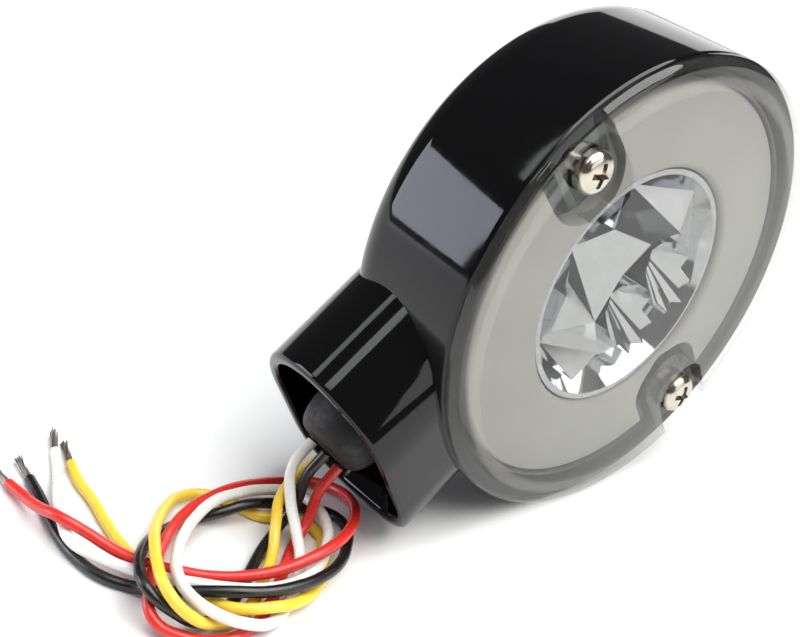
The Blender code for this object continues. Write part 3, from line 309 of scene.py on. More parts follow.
def strand_tree():
    """A twisted bundle of fine wires along Z that opens a little towards its tip."""
    tree = bpy.data.node_groups.new("stripped_strands", 'GeometryNodeTree')
    for name, kind, value in (("Count", 'NodeSocketInt', STRAND_COUNT),
                              ("Wire Radius", 'NodeSocketFloat', STRAND_RADIUS),
                              ("Bundle Radius", 'NodeSocketFloat', BUNDLE_RADIUS),
                              ("Length", 'NodeSocketFloat', STRAND_LENGTH),
                              ("Twist", 'NodeSocketFloat', 1.6),
                              ("Fray", 'NodeSocketFloat', 0.3 * MM),
                              ("Seed", 'NodeSocketInt', 3)):
        tree.interface.new_socket(name, in_out='INPUT', socket_type=kind).default_value = value
    tree.interface.new_socket("Finish", in_out='INPUT', socket_type='NodeSocketMaterial')
    tree.interface.new_socket("Geometry", in_out='OUTPUT', socket_type='NodeSocketGeometry')

    sizes = tree_node(tree, 'NodeGroupInput').outputs

    def sum_of(operation, first, second):
        return tree_node(tree, 'ShaderNodeMath', {"operation": operation}, {0: first, 1: second}).outputs[0]

    index = tree_node(tree, 'GeometryNodeInputIndex').outputs[0]
    share = sum_of('DIVIDE', index, sizes["Count"])
    out = sum_of('MULTIPLY', tree_node(tree, 'ShaderNodeMath', {"operation": 'SQRT'}, {0: share}).outputs[0],
                 sizes["Bundle Radius"])
    turn = tree_node(tree, 'ShaderNodeMath', {"operation": 'MULTIPLY', 1: 2.39996}, {0: index}).outputs[0]
    across = sum_of('MULTIPLY', out,
                    tree_node(tree, 'ShaderNodeMath', {"operation": 'COSINE'}, {0: turn}).outputs[0])
    along = sum_of('MULTIPLY', out,
                   tree_node(tree, 'ShaderNodeMath', {"operation": 'SINE'}, {0: turn}).outputs[0])
    start = tree_node(tree, 'ShaderNodeCombineXYZ', {}, {"X": across, "Y": along}).outputs[0]
    points = tree_node(tree, 'GeometryNodePoints', {}, {"Count": sizes["Count"], "Position": start})
    top = tree_node(tree, 'ShaderNodeCombineXYZ', {}, {"Z": sizes["Length"]}).outputs[0]
    line = tree_node(tree, 'GeometryNodeCurvePrimitiveLine', {}, {"End": top})
    line = tree_node(tree, 'GeometryNodeResampleCurve', {"Count": 9}, {"Curve": line.outputs[0]})
    wires = tree_node(tree, 'GeometryNodeInstanceOnPoints', {},
                      {"Points": points.outputs[0], "Instance": line.outputs[0]})
    wires = tree_node(tree, 'GeometryNodeRealizeInstances', {}, {0: wires.outputs[0]}).outputs[0]

    place = tree_node(tree, 'GeometryNodeInputPosition').outputs[0]
    height = tree_node(tree, 'ShaderNodeSeparateXYZ', {}, {0: place}).outputs["Z"]
    rise = sum_of('DIVIDE', height, sizes["Length"])
    angle = sum_of('MULTIPLY', rise, sizes["Twist"])
    twisted_place = tree_node(tree, 'ShaderNodeVectorRotate', {"rotation_type": 'Z_AXIS'},
                        {"Vector": place, "Angle": angle}).outputs[0]
    wire = tree_node(tree, 'GeometryNodeInputIndex').outputs[0]
    wire = tree_node(tree, 'ShaderNodeMath', {"operation": 'DIVIDE', 1: 9.0}, {0: wire}).outputs[0]
    wire = tree_node(tree, 'ShaderNodeMath', {"operation": 'FLOOR'}, {0: wire}).outputs[0]
    stray = tree_node(tree, 'FunctionNodeRandomValue',
                 {"data_type": 'FLOAT_VECTOR', 0: (-1.0, -1.0, -0.6), 1: (1.0, 1.0, 0.0)},
                 {"ID": wire, "Seed": sizes["Seed"]}).outputs[0]
    reach = sum_of('MULTIPLY', sum_of('MULTIPLY', rise, rise), sizes["Fray"])
    stray = tree_node(tree, 'ShaderNodeVectorMath', {"operation": 'SCALE'},
                      {0: stray, "Scale": reach}).outputs[0]
    bent = tree_node(tree, 'GeometryNodeSetPosition', {},
                     {"Geometry": wires, "Position": twisted_place, "Offset": stray})
    section = tree_node(tree, 'GeometryNodeCurvePrimitiveCircle', {"Resolution": 6},
                        {"Radius": sizes["Wire Radius"]})
    solid = tree_node(tree, 'GeometryNodeCurveToMesh', {"Fill Caps": True},
                 {"Curve": bent.outputs[0], "Profile Curve": section.outputs[0]})
    solid = tree_node(tree, 'GeometryNodeRealizeInstances', {}, {0: solid.outputs[0]})
    solid = tree_node(tree, 'GeometryNodeSetMaterial', {},
                      {"Geometry": solid.outputs[0], "Material": sizes["Finish"]})
    tree.links.new(solid.outputs[0], tree_node(tree, 'NodeGroupOutput').inputs[0])
    return tree


def grown(name, tree, inputs):
    """The plain mesh that a Geometry Nodes tree makes with these inputs."""
    seed_mesh = bpy.data.meshes.new(name)
    worker = bpy.data.objects.new(name, seed_mesh)
    bpy.context.scene.collection.objects.link(worker)
    modifier = worker.modifiers.new("grow", 'NODES')
    modifier.node_group = tree
    for item in tree.interface.items_tree:
        if item.in_out == 'INPUT' and item.name in inputs:
            modifier[item.identifier] = inputs[item.name]
    bpy.context.view_layer.update()
    mesh = bpy.data.meshes.new_from_object(worker.evaluated_get(bpy.context.evaluated_depsgraph_get()))
    bpy.data.objects.remove(worker)
    mesh.name = name
    return mesh


def piece_of(name, mesh, material=None):
    """A finished piece: its object at the origin, its place in its mesh, riding on the one body."""
    made = bpy.data.objects.new(name, mesh)
    bpy.context.scene.collection.objects.link(made)
    if material:
        mesh.materials.clear()
        mesh.materials.append(material)
    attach(made, "root")
    return made


strands = strand_tree()
for seed, (colour, way) in enumerate(LEAD_WAYS.items()):
    line = respaced(way, LEAD_POINT_STEP)
    data = bpy.data.curves.new(f"lead_{colour}_cover", 'CURVE')
    data.dimensions = '3D'
    data.bevel_depth = LEAD_RADIUS
    data.bevel_resolution = 4
    data.resolution_u = 6
    data.use_fill_caps = True
    spline = data.splines.new('BEZIER')
    spline.bezier_points.add(len(line) - 1)
    for point, spot in zip(spline.bezier_points, line):
        point.co = spot
        point.handle_left_type = point.handle_right_type = 'AUTO'
    data.materials.append(LEAD_FINISHES[colour])
    lead = bpy.data.objects.new(f"lead_{colour}_cover", data)
    bpy.context.scene.collection.objects.link(lead)
    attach(lead, "root")
    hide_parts(f"lead_{colour}")

    ahead = Vector(way[-1] - way[-2])
    ahead.z = 0.0
    heading = ahead.to_track_quat('Z', 'Y').to_matrix().to_4x4()
    tip = Matrix.Translation(Vector(way[-1]) - ahead.normalized() * 0.2 * MM) @ heading
    bare = grown(f"strands_{colour}_bare", strands, {"Seed": seed + 3, "Finish": TINNED})
    bare.transform(tip)
    stripped = piece_of(f"strands_{colour}_bare", bare)
    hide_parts(f"strands_{colour}")


# ---- Housing ----
# Drum and stem die-cast in one piece in zinc, with the screw posts inside and two bosses in the
# stem's mouth, then stoved in gloss black enamel.
BACK_FILLET = 6.0 * MM
WALL_STRAIGHT = 15.3 * MM
DRUM_WALL = 3.2 * MM
SEAT_RADIUS = DRUM_RADIUS - 2.2 * MM
STEM_ROOT = 10.0 * MM
STEM_WALL = 1.8 * MM
STEM_TOP_ROUND = 12.0 * MM
STEM_BOTTOM_ROUND = 9.0 * MM
EDGE_ROUND = 0.6 * MM        # enamel over the cast edges
LEDGE = 4.8 * MM
BOSS_RADIUS = 3.3 * MM
BOSS_TOP = 39.4 * MM
BOSS_PLACES = [(STEM_DEPTH, STEM_RISE + side * 9.6 * MM) for side in (1, -1)]
SCREW_PLACES = [(0.0, side * 27.0 * MM) for side in (1, -1)]
BOARD_SCREW_PLACES = [(side * 16.0 * MM, -15.0 * MM) for side in (1, -1)]
STEM_MIDDLE = (STEM_DEPTH, STEM_RISE)


def arc(centre, radius, start, end, count):
    """Points on an arc; angles in degrees from the first axis."""
    steps = [radians(start + (end - start) * i / count) for i in range(count + 1)]
    return [(centre[0] + radius * cos(a), centre[1] + radius * sin(a)) for a in steps]


def shape(name, rings, closed=False, capped=False):
    """A raw solid in the light's axes, skinned over rings of points."""
    form = bmesh.new()
    rows = [[form.verts.new(point) for point in ring] for ring in rings]
    for row, after in list(zip(rows, rows[1:])) + ([(rows[-1], rows[0])] if closed else []):
        for i in range(len(row)):
            j = (i + 1) % len(row)
            form.faces.new((row[i], row[j], after[j], after[i]))
    if capped:
        form.faces.new(rows[0])
        form.faces.new(rows[-1])
    bmesh.ops.remove_doubles(form, verts=form.verts, dist=0.000001)
    bmesh.ops.recalc_face_normals(form, faces=form.faces)
    mesh = bpy.data.meshes.new(name)
    form.to_mesh(mesh)
    form.free()
    made = bpy.data.objects.new(name, mesh)
    bpy.context.scene.collection.objects.link(made)
    return made


def turned(name, profile, sides=192, along='Y', middle=(0.0, 0.0), closed=False):
    """A turned solid from (radius, height) points, about Y or out along the stem."""
    rings = []
    for radius, height in profile:
        ring = arc(middle, radius, 0, 360 * (sides - 1) / sides, sides - 1)
        rings.append([(a, height, b) if along == 'Y' else (-height, a, b) for a, b in ring])
    return shape(name, rings, closed)


def bar(name, radius, low, high, spot, sides=48, along='Y'):
    return turned(name, [(0.0, high), (radius, high), (radius, low), (0.0, low)], sides, along, spot)


def combine(target, operation, *others):
    """Join or cut, keep the result as the target's own mesh, and throw the others away."""
    for other in others:
        step = target.modifiers.new(other.name, 'BOOLEAN')
        step.operation = operation
        step.object = other
    bpy.context.view_layer.update()
    view = bpy.context.evaluated_depsgraph_get()
    mesh = bpy.data.meshes.new_from_object(target.evaluated_get(view))
    target.modifiers.clear()
    form = bmesh.new()
    form.from_mesh(mesh)
    bmesh.ops.remove_doubles(form, verts=form.verts, dist=0.000002)
    bmesh.ops.dissolve_degenerate(form, edges=form.edges, dist=0.000001)
    form.to_mesh(mesh)
    form.free()
    target.data = mesh
    for other in others:
        bpy.data.objects.remove(other)
    return target


def settled(raw, name, material, crease=32):
    """The raw solid as a finished piece, smooth but for edges sharper than crease degrees."""
    mesh = raw.data
    bpy.data.objects.remove(raw)
    mesh.transform(LIGHT_PLACE)
    mesh.name = name
    mesh.shade_smooth()
    mesh.set_sharp_from_angle(angle=radians(crease))
    return piece_of(name, mesh, material)


def back_profile(inset):
    """The drum's domed back and rounded edge as (radius, depth) points, from the axis outwards."""
    rise = DRUM_DEPTH - WALL_STRAIGHT
    edge = DRUM_RADIUS - BACK_FILLET
    dome = (edge ** 2 + rise ** 2 - BACK_FILLET ** 2) / (2 * (rise - BACK_FILLET))
    centre = DRUM_DEPTH - dome
    meet = 90 - atan2(edge, WALL_STRAIGHT - centre) * 180 / pi
    points = arc((0.0, centre), dome - inset, 90, meet, 16)
    points[0] = (0.0, points[0][1])
    return points + arc((edge, WALL_STRAIGHT), BACK_FILLET - inset, meet, 0, 14)[1:]


def stem_ring(x, inset):
    """The stem's rounded section drawn in by inset, at x on its middle, sheared as its end is cut."""
    half_width, half_height = STEM_WIDTH / 2 - inset, STEM_HEIGHT / 2 - inset
    points = []
    for side_y, side_z, start, outer in ((1, 1, 0, STEM_TOP_ROUND), (-1, 1, 90, STEM_TOP_ROUND),
                                         (-1, -1, 180, STEM_BOTTOM_ROUND), (1, -1, 270, STEM_BOTTOM_ROUND)):
        radius = outer - inset
        centre = (STEM_DEPTH + side_y * (half_width - radius), STEM_RISE + side_z * (half_height - radius))
        points += arc(centre, radius, start, start + 90, 20)
    lean = tan(STEM_END_ANGLE) if x < -DRUM_RADIUS else 0.0
    return [(x - lean * (STEM_RISE - z), y, z) for y, z in points]


round_steps = [radians(90 * i / 5) for i in range(6)]
stem_outside = [(-STEM_ROOT, 0.0)] + [(-STEM_LENGTH + EDGE_ROUND * (1 - sin(a)), EDGE_ROUND * (1 - cos(a)))
                                      for a in round_steps]
stem_inside = [(-STEM_LENGTH - STEM_HEIGHT, STEM_WALL - EDGE_ROUND)]
stem_inside += [(-STEM_LENGTH + EDGE_ROUND * (1 - cos(a)), STEM_WALL - EDGE_ROUND * (1 - sin(a)))
                for a in round_steps]
stem_inside += [(-DRUM_RADIUS - 0.15 * MM, STEM_WALL)]

front_edge = arc((DRUM_RADIUS - EDGE_ROUND, EDGE_ROUND), EDGE_ROUND, 0, -90, 5)
housing = turned("housing_raw", back_profile(0.0) + front_edge + [(0.0, 0.0)])
stem = shape("stem", [stem_ring(x, inset) for x, inset in stem_outside], capped=True)
combine(housing, 'UNION', stem)
hollow = back_profile(DRUM_WALL) + [(DRUM_RADIUS - DRUM_WALL, LEDGE), (SEAT_RADIUS, LEDGE),
                                    (SEAT_RADIUS, -LENS_PROUD), (0.0, -LENS_PROUD)]
mouth = shape("mouth", [stem_ring(x, inset) for x, inset in stem_inside], capped=True)
combine(housing, 'DIFFERENCE', turned("hollow", hollow), mouth,
        bar("plug_hole", 4.5 * MM, STEM_LENGTH / 2, STEM_LENGTH, STEM_MIDDLE, along='stem'))
posts = [bar(f"post_{i}", 2.6 * MM, 2.1 * MM, 20.4 * MM, spot) for i, spot in enumerate(SCREW_PLACES)]
posts += [bar(f"board_post_{i}", 2.7 * MM, 8.1 * MM, 22.2 * MM, spot)
          for i, spot in enumerate(BOARD_SCREW_PLACES)]
BOSS_ROUND = 0.4 * MM
boss_profile = [(0.0, BOSS_TOP)]
boss_profile += arc((BOSS_RADIUS - BOSS_ROUND, BOSS_TOP - BOSS_ROUND), BOSS_ROUND, 90, 0, 4)
boss_profile += [(BOSS_RADIUS, DRUM_RADIUS - 1.6 * MM), (0.0, DRUM_RADIUS - 1.6 * MM)]
bosses = [turned(f"boss_{i}", boss_profile, 48, 'stem', spot) for i, spot in enumerate(BOSS_PLACES)]
combine(housing, 'UNION', *posts, *bosses)
holes = [bar(f"pilot_{i}", 1.6 * MM, 0.0, 14.6 * MM, spot) for i, spot in enumerate(SCREW_PLACES)]
holes += [bar(f"board_pilot_{i}", 1.2 * MM, 0.0, 14.3 * MM, spot)
          for i, spot in enumerate(BOARD_SCREW_PLACES)]
holes += [bar(f"insert_hole_{i}", 2.5 * MM, 33.9 * MM, STEM_LENGTH, spot, along='stem')
          for i, spot in enumerate(BOSS_PLACES)]
combine(housing, 'DIFFERENCE', *holes)

# Stoved gloss enamel: deep black under a wet-looking skin, with a trace of orange peel.
ENAMEL, enamel_shader = new_finish("gloss_black_enamel", "070708", 0.06, ior=1.44)
mottle(ENAMEL, enamel_shader, 2.4 * MM, "080809", "060607", 0.04, 0.08, 0.004 * MM)
casting = settled(housing, "housing_casting", ENAMEL)
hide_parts("housing")


# ---- Threaded inserts ----
# Brass bushes pressed into the bosses, where the bracket's two screws go: turned smooth outside,
# with the thread inside drawn as a stack of rings.
INSERT_RADIUS = 2.15 * MM
INSERT_BORE = 1.25 * MM
INSERT_LENGTH = 4.6 * MM
THREAD_PITCH = 0.5 * MM
BRASS, brass_shader = new_finish("brass", "B9964F", 0.3, metallic=1.0)
mottle(BRASS, brass_shader, 0.9 * MM, "C6A35A", "94733A", 0.2, 0.42, 0.01 * MM)
for number, spot in enumerate(BOSS_PLACES, 1):
    high = BOSS_TOP - 0.3 * MM
    low = high - INSERT_LENGTH
    lead_in = 0.25 * MM
    profile = [(INSERT_BORE + lead_in, high), (INSERT_RADIUS - lead_in, high),
               (INSERT_RADIUS, high - lead_in), (INSERT_RADIUS, low + lead_in),
               (INSERT_RADIUS - lead_in, low), (INSERT_BORE + lead_in, low)]
    turns = int((INSERT_LENGTH - 2 * lead_in) / THREAD_PITCH)
    for turn in range(turns):
        foot = low + lead_in + turn * THREAD_PITCH
        profile += [(INSERT_BORE, foot), (INSERT_BORE + lead_in, foot + THREAD_PITCH / 2)]
    insert = turned(f"insert_{number}", profile, 48, 'stem', spot, closed=True)
    bush = settled(insert, f"threaded_insert_{number}_bush", BRASS)
    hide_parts(f"threaded_insert_{number}")


# ---- Wire grommet ----
# Moulded black rubber plug pulled into the drum's wall from the stem; the leads pass through it.
GROMMET_RADIUS = 6.0 * MM
NOSE_RADIUS = 3.9 * MM
NOSE_LENGTH = 5.0 * MM
shoulder = GROMMET_NOSE - NOSE_LENGTH
inner = sqrt((DRUM_RADIUS - BACK_FILLET) ** 2 - STEM_RISE ** 2) - 0.3 * MM
profile = [(0.0, GROMMET_NOSE - 0.4 * MM), (NOSE_RADIUS - 1.2 * MM, GROMMET_NOSE - 0.3 * MM),
           (NOSE_RADIUS - 0.4 * MM, GROMMET_NOSE)]
for i in range(1, 15):
    angle = radians(90 * i / 14)
    profile.append((NOSE_RADIUS + (GROMMET_RADIUS - NOSE_RADIUS) * sin(angle),
                    shoulder + NOSE_LENGTH * cos(angle)))
profile += [(GROMMET_RADIUS, DRUM_RADIUS + 0.3 * MM), (4.2 * MM, DRUM_RADIUS + 0.3 * MM), (4.2 * MM, inner),
            (5.1 * MM, inner), (5.1 * MM, inner - 1.5 * MM), (0.0, inner - 1.5 * MM)]
# Moulded rubber: matt dark grey with a faint bloom and a fine even grain.
RUBBER, rubber_shader = new_finish("black_rubber", "19191A", 0.6, ior=1.52)
mottle(RUBBER, rubber_shader, 0.8 * MM, "222223", "121213", 0.5, 0.7, 0.02 * MM)
plug = settled(turned("plug", profile, 64, 'stem', STEM_MIDDLE), "wire_grommet_plug", RUBBER)
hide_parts("wire_grommet")


# ---- Pieces inside, kept as drawn ----
# Gasket, circuit board, its diodes and chips, the board's two screws and the leads' inner ends
# are the frame's own shapes; each gets its real finish.
def refinish(material, *nodes):
    """Give nodes of the frame their finish."""
    for node in nodes:
        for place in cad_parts[node].material_slots:
            place.material = material


# Solder mask on glass cloth: green, cloudy where copper lies under it.
BOARD_GREEN, board_shader = new_finish("circuit_board", "1F5A37", 0.4)
mottle(BOARD_GREEN, board_shader, 2.5 * MM, "2B6E45", "164529", 0.3, 0.5, 0.02 * MM)
# Amber epoxy of a through-hole diode, and the yellow phosphor gel of a surface one.
AMBER, amber_shader = new_finish("amber_diode", "E0861C", 0.15, ior=1.55)
mottle(AMBER, amber_shader, 1.5 * MM, "EE9A2A", "C76E10", 0.08, 0.2)
WHITE_DIODE, white_shader = new_finish("white_diode", "E7E0B4", 0.35)
mottle(WHITE_DIODE, white_shader, 0.8 * MM, "F1EBC6", "DBCF92", 0.25, 0.45, 0.01 * MM)
# Black moulding epoxy: matt, fine sandy skin.
EPOXY, epoxy_shader = new_finish("black_epoxy", "1B1B1C", 0.5)
mottle(EPOXY, epoxy_shader, 0.5 * MM, "222223", "151516", 0.4, 0.6, 0.01 * MM)
# Nickel plate on steel: warm silver, polished by tumbling, so the gloss varies a little.
NICKEL, nickel_shader = new_finish("nickel_steel", "C9C2B4", 0.2, metallic=1.0)
mottle(NICKEL, nickel_shader, 1.3 * MM, "D3CDC1", "B0A898", 0.12, 0.28, 0.006 * MM)

refinish(RUBBER, "lens_gasket")
refinish(BOARD_GREEN, "led_board")
refinish(WHITE_DIODE, *[f"ring_led_{i}" for i in range(1, 9)])
refinish(AMBER, "cup_led_1", "cup_led_2")
refinish(EPOXY, "driver_chip", "diode", "resistor_1", "resistor_2", "resistor_3")
refinish(NICKEL, "capacitor", "board_screw_1", "board_screw_2")
for colour, finish in LEAD_FINISHES.items():
    refinish(finish, f"inner_lead_{colour}")


# ---- Reflector ----
# One injection moulding in ABS, vacuum metallised: a flange under the light guide, a bowl with
# flat cut facets that meet over the two diodes, and a fluted cup below each.
GUIDE_INNER = 17.9 * MM
GUIDE_FRONT = 0.5 * MM
GUIDE_BACK = 3.0 * MM
SKIRT_INNER = 30.0 * MM
GUIDE_OUTER = SKIRT_INNER - 0.5 * MM
FLANGE_FRONT = GUIDE_BACK + 0.3 * MM
FLANGE_BACK = FLANGE_FRONT + 1.0 * MM
REFLECTOR_BACK = 5.9 * MM
POCKET_PLACE = 24.5 * MM
POCKET_HALF = 4.5 * MM
POCKET_WALL = 1.5 * MM


def pocket(name, side, half, outer_end, low, high):
    """A U-shaped bar round a lens screw, open outwards; side is 1 for the upper screw, -1 below."""
    outline = arc((0.0, POCKET_PLACE), half, 180, 360, 28) + [(half, outer_end), (-half, outer_end)]
    rings = [[(side * x, depth, side * z) for x, z in outline] for depth in (low, high)]
    return shape(name, rings, capped=True)


def clear_of_pockets(target, low, high):
    combine(target, 'DIFFERENCE', *[pocket(f"notch_{side}", side, POCKET_HALF + POCKET_WALL + 0.3 * MM,
                                           DRUM_RADIUS, low, high) for side in (1, -1)])


lip = GUIDE_INNER - 0.3 * MM
bowl = turned("bowl", [(0.0, REFLECTOR_BACK), (14.6 * MM, REFLECTOR_BACK), (lip, FLANGE_BACK),
                       (GUIDE_OUTER, FLANGE_BACK), (GUIDE_OUTER, FLANGE_FRONT), (lip, FLANGE_FRONT),
                       (lip, GUIDE_FRONT), (lip - 0.8 * MM, GUIDE_FRONT), (14.6 * MM, 4.4 * MM),
                       (0.0, 4.4 * MM)])
windows = [bar(f"window_{i}", 1.6 * MM, 0.0, REFLECTOR_BACK, (x, z), 24)
           for i, (x, z) in enumerate(arc((0.0, 0.0), 22.6 * MM, 22.5, 337.5, 7))]
clear_of_pockets(bowl, 0.0, REFLECTOR_BACK)
combine(bowl, 'DIFFERENCE', *windows)

# Corners of the cut facets as (x, depth, z) in millimetres: those round the bowl, and the near
# ones that they run down from.
RIM = {"s": (14.6, 2.6, -2.0), "a": (14.4, 0.0, 5.8), "c": (7.2, 3.0, 13.4), "d": (5.3, 2.2, 13.6),
       "f": (0.4, -0.6, 13.9), "h": (-4.6, 2.8, 13.2), "j": (-9.8, -0.6, 11.2), "k": (-13.4, 0.6, 6.2),
       "m": (-14.6, 2.8, 3.0), "n": (-13.8, 0.2, -5.5)}
NEAR = {"t": (10.4, -0.4, -3.0), "b": (9.2, -1.4, 3.4), "e": (4.2, -1.6, 6.7), "g": (-1.6, -1.6, 6.6),
        "l": (-7.7, -1.0, 2.6), "o": (-8.4, 0.8, -6.4)}
FACETS = ("sat", "abt", "abc", "bec", "ced", "def", "efg", "fgh", "ghl", "hlj", "jlk", "klm", "mlo", "mon")
BOWL_FLOOR = 4.6 * MM


def stood_in_bowl(form):
    """Close an open faceted sheet with walls down to the bowl's floor."""
    rim = [edge for edge in form.edges if edge.is_boundary]
    walls = bmesh.ops.extrude_edge_only(form, edges=rim)["geom"]
    for corner in walls:
        if isinstance(corner, bmesh.types.BMVert):
            corner.co.y = BOWL_FLOOR
    foot = [edge for edge in form.edges if edge.is_boundary]
    bmesh.ops.edgeloop_fill(form, edges=foot)
    bmesh.ops.recalc_face_normals(form, faces=form.faces)


def fluted_cup_tree():
    """A fan of flat flutes from the deep middle of an oval cup, alternate rim corners drawn in."""
    tree = bpy.data.node_groups.new("fluted_cup", 'GeometryNodeTree')
    for name, kind, value in (("Flutes", 'NodeSocketInt', 9),
                              ("Half Width", 'NodeSocketFloat', 4.1 * MM),
                              ("Half Height", 'NodeSocketFloat', 7.4 * MM),
                              ("Fold", 'NodeSocketFloat', 0.95 * MM),
                              ("Middle", 'NodeSocketVector', (0.0, 0.0, 0.0)),
                              ("Deepest", 'NodeSocketVector', (0.0, 0.0, 0.0))):
        tree.interface.new_socket(name, in_out='INPUT', socket_type=kind).default_value = value
    tree.interface.new_socket("Finish", in_out='INPUT', socket_type='NodeSocketMaterial')
    tree.interface.new_socket("Geometry", in_out='OUTPUT', socket_type='NodeSocketGeometry')
    sizes = tree_node(tree, 'NodeGroupInput').outputs

    def worked(operation, first, second):
        return tree_node(tree, 'ShaderNodeMath', {"operation": operation}, {0: first, 1: second}).outputs[0]

    corners = tree_node(tree, 'ShaderNodeMath', {"operation": 'MULTIPLY', 1: 2.0}, {0: sizes["Flutes"]})
    fan = tree_node(tree, 'GeometryNodeMeshCircle', {"fill_type": 'TRIANGLE_FAN', "Radius": 1.0},
                    {"Vertices": corners.outputs[0]})
    index = tree_node(tree, 'GeometryNodeInputIndex').outputs[0]
    odd = tree_node(tree, 'ShaderNodeMath', {"operation": 'MODULO', 1: 2.0}, {0: index}).outputs[0]
    place = tree_node(tree, 'ShaderNodeSeparateXYZ', {},
                      {0: tree_node(tree, 'GeometryNodeInputPosition').outputs[0]}).outputs
    fold = worked('MULTIPLY', odd, sizes["Fold"])
    wide = worked('MULTIPLY', place["X"], worked('SUBTRACT', sizes["Half Width"], fold))
    high = worked('MULTIPLY', place["Y"], worked('SUBTRACT', sizes["Half Height"], fold))
    rim = tree_node(tree, 'ShaderNodeCombineXYZ', {}, {"X": wide, "Y": fold, "Z": high}).outputs[0]
    rim = tree_node(tree, 'ShaderNodeVectorMath', {"operation": 'ADD'},
                    {0: rim, 1: sizes["Middle"]}).outputs[0]
    hub = tree_node(tree, 'FunctionNodeCompare', {"data_type": 'INT', "operation": 'EQUAL'},
                    {2: index, 3: corners.outputs[0]}).outputs[0]
    spot = tree_node(tree, 'GeometryNodeSwitch', {"input_type": 'VECTOR'},
                     {0: hub, 1: rim, 2: sizes["Deepest"]}).outputs[0]
    moved = tree_node(tree, 'GeometryNodeSetPosition', {}, {"Geometry": fan.outputs[0], "Position": spot})
    whole = tree_node(tree, 'GeometryNodeRealizeInstances', {}, {0: moved.outputs[0]})
    done = tree_node(tree, 'GeometryNodeSetMaterial', {},
                     {"Geometry": whole.outputs[0], "Material": sizes["Finish"]})
    tree.links.new(done.outputs[0], tree_node(tree, 'NodeGroupOutput').inputs[0])
    return tree


# Vacuum metallised over a lacquer: a mirror with a little haze that comes and goes.
CHROME, chrome_shader = new_finish("vacuum_chrome", "E9EAEC", 0.05, metallic=1.0)
mottle(CHROME, chrome_shader, 3.0 * MM, "EDEEF0", "DADCDE", 0.03, 0.09)

form = bmesh.new()
corners = {name: form.verts.new([v * MM for v in spot]) for name, spot in {**RIM, **NEAR}.items()}
for facet in FACETS:
    form.faces.new([corners[name] for name in facet])
stood_in_bowl(form)
cup_tree = fluted_cup_tree()
for middle, deepest in (((5.2, -1.5, -2.4), (5.2, 3.0, 1.2)), ((-3.0, -1.5, -2.6), (-2.6, 3.0, 1.2))):
    cup = grown("fluted_cup", cup_tree, {"Middle": [v * MM for v in middle],
                                         "Deepest": [v * MM for v in deepest], "Finish": CHROME})
    sheet = bmesh.new()
    sheet.from_mesh(cup)
    stood_in_bowl(sheet)
    sheet.to_mesh(cup)
    sheet.free()
    form.from_mesh(cup)
facets = bpy.data.meshes.new("facets")
form.to_mesh(facets)
form.free()
facets.transform(LIGHT_PLACE)
smooth_faces = len(bowl.data.polygons)
mirror = settled(bowl, "reflector_moulding", CHROME, 20)
form = bmesh.new()
form.from_mesh(mirror.data)
form.from_mesh(facets)
for face in form.faces:
    if face.index >= smooth_faces:
        face.smooth = False
form.to_mesh(mirror.data)
form.free()
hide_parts("reflector")


# ---- Light guide ring ----
# Frosted acrylic ring that spreads the white diodes' light; it sits on the reflector's flange,
# notched round the screw pockets.
GUIDE_RISE = 0.8 * MM
ring = arc((GUIDE_OUTER - 0.6 * MM, GUIDE_FRONT + 0.6 * MM), 0.6 * MM, 0, -78, 5)
ring += arc((GUIDE_INNER + 0.9 * MM, GUIDE_FRONT - GUIDE_RISE + 0.9 * MM), 0.9 * MM, -78, -180, 8)
guide = turned("guide", [(GUIDE_INNER, GUIDE_BACK), (GUIDE_OUTER, GUIDE_BACK)] + ring, closed=True)
clear_of_pockets(guide, -LENS_PROUD, 2 * GUIDE_BACK)
# Satin acrylic: warm grey, even, with a soft sheen from the blasted tool.
FROSTED, frosted_shader = new_finish("frosted_plastic", "CFCBC0", 0.42, ior=1.49)
mottle(FROSTED, frosted_shader, 6.0 * MM, "D7D6D0", "CCCAC3", 0.36, 0.5, 0.01 * MM)
halo = settled(guide, "light_guide_frosted", FROSTED)
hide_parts("light_guide_ring")


# ---- Lens ----
# Domed cover moulded in lightly smoked polycarbonate, its skirt inside the housing's wall, with
# two U-shaped screw pockets open at the rim.
LENS_THICK = 2.0 * MM
LENS_EDGE_ROUND = 1.5 * MM
SKIRT_RADIUS = 31.5 * MM
SKIRT_DEPTH = 2.8 * MM
POCKET_FLOOR = -0.2 * MM
POCKET_BACK = 1.8 * MM


def dome_points(edge_radius, edge_depth, rise, count):
    """The lens's face from its middle to edge_radius, as (radius, depth) points."""
    radii = [edge_radius * i / count for i in range(count + 1)]
    return [(r, edge_depth - rise * (1 - (r / edge_radius) ** 2)) for r in radii]


face_edge = DRUM_RADIUS - LENS_EDGE_ROUND
back = dome_points(SKIRT_INNER, LENS_THICK - LENS_RIM, LENS_DOME * (SKIRT_INNER / face_edge) ** 2, 24)
front = dome_points(face_edge, -LENS_RIM, LENS_DOME, 26)
edge = arc((face_edge, LENS_EDGE_ROUND - LENS_RIM), LENS_EDGE_ROUND, 0, -90, 8)
skirt = [(SKIRT_INNER, SKIRT_DEPTH), (SKIRT_RADIUS, SKIRT_DEPTH), (SKIRT_RADIUS, -0.3 * MM),
         (DRUM_RADIUS, -0.3 * MM)]
lens_raw = turned("lens_raw", back + skirt + edge[1:] + front[-2::-1])
wall_half = POCKET_HALF + POCKET_WALL
wall_end = sqrt((SKIRT_INNER + 0.75 * MM) ** 2 - wall_half ** 2)
wall_front = LENS_THICK / 2 - LENS_RIM - LENS_DOME * (1 - (POCKET_PLACE / face_edge) ** 2)
combine(lens_raw, 'UNION', *[pocket(f"wall_{side}", side, wall_half, wall_end, wall_front, POCKET_BACK)
                             for side in (1, -1)])
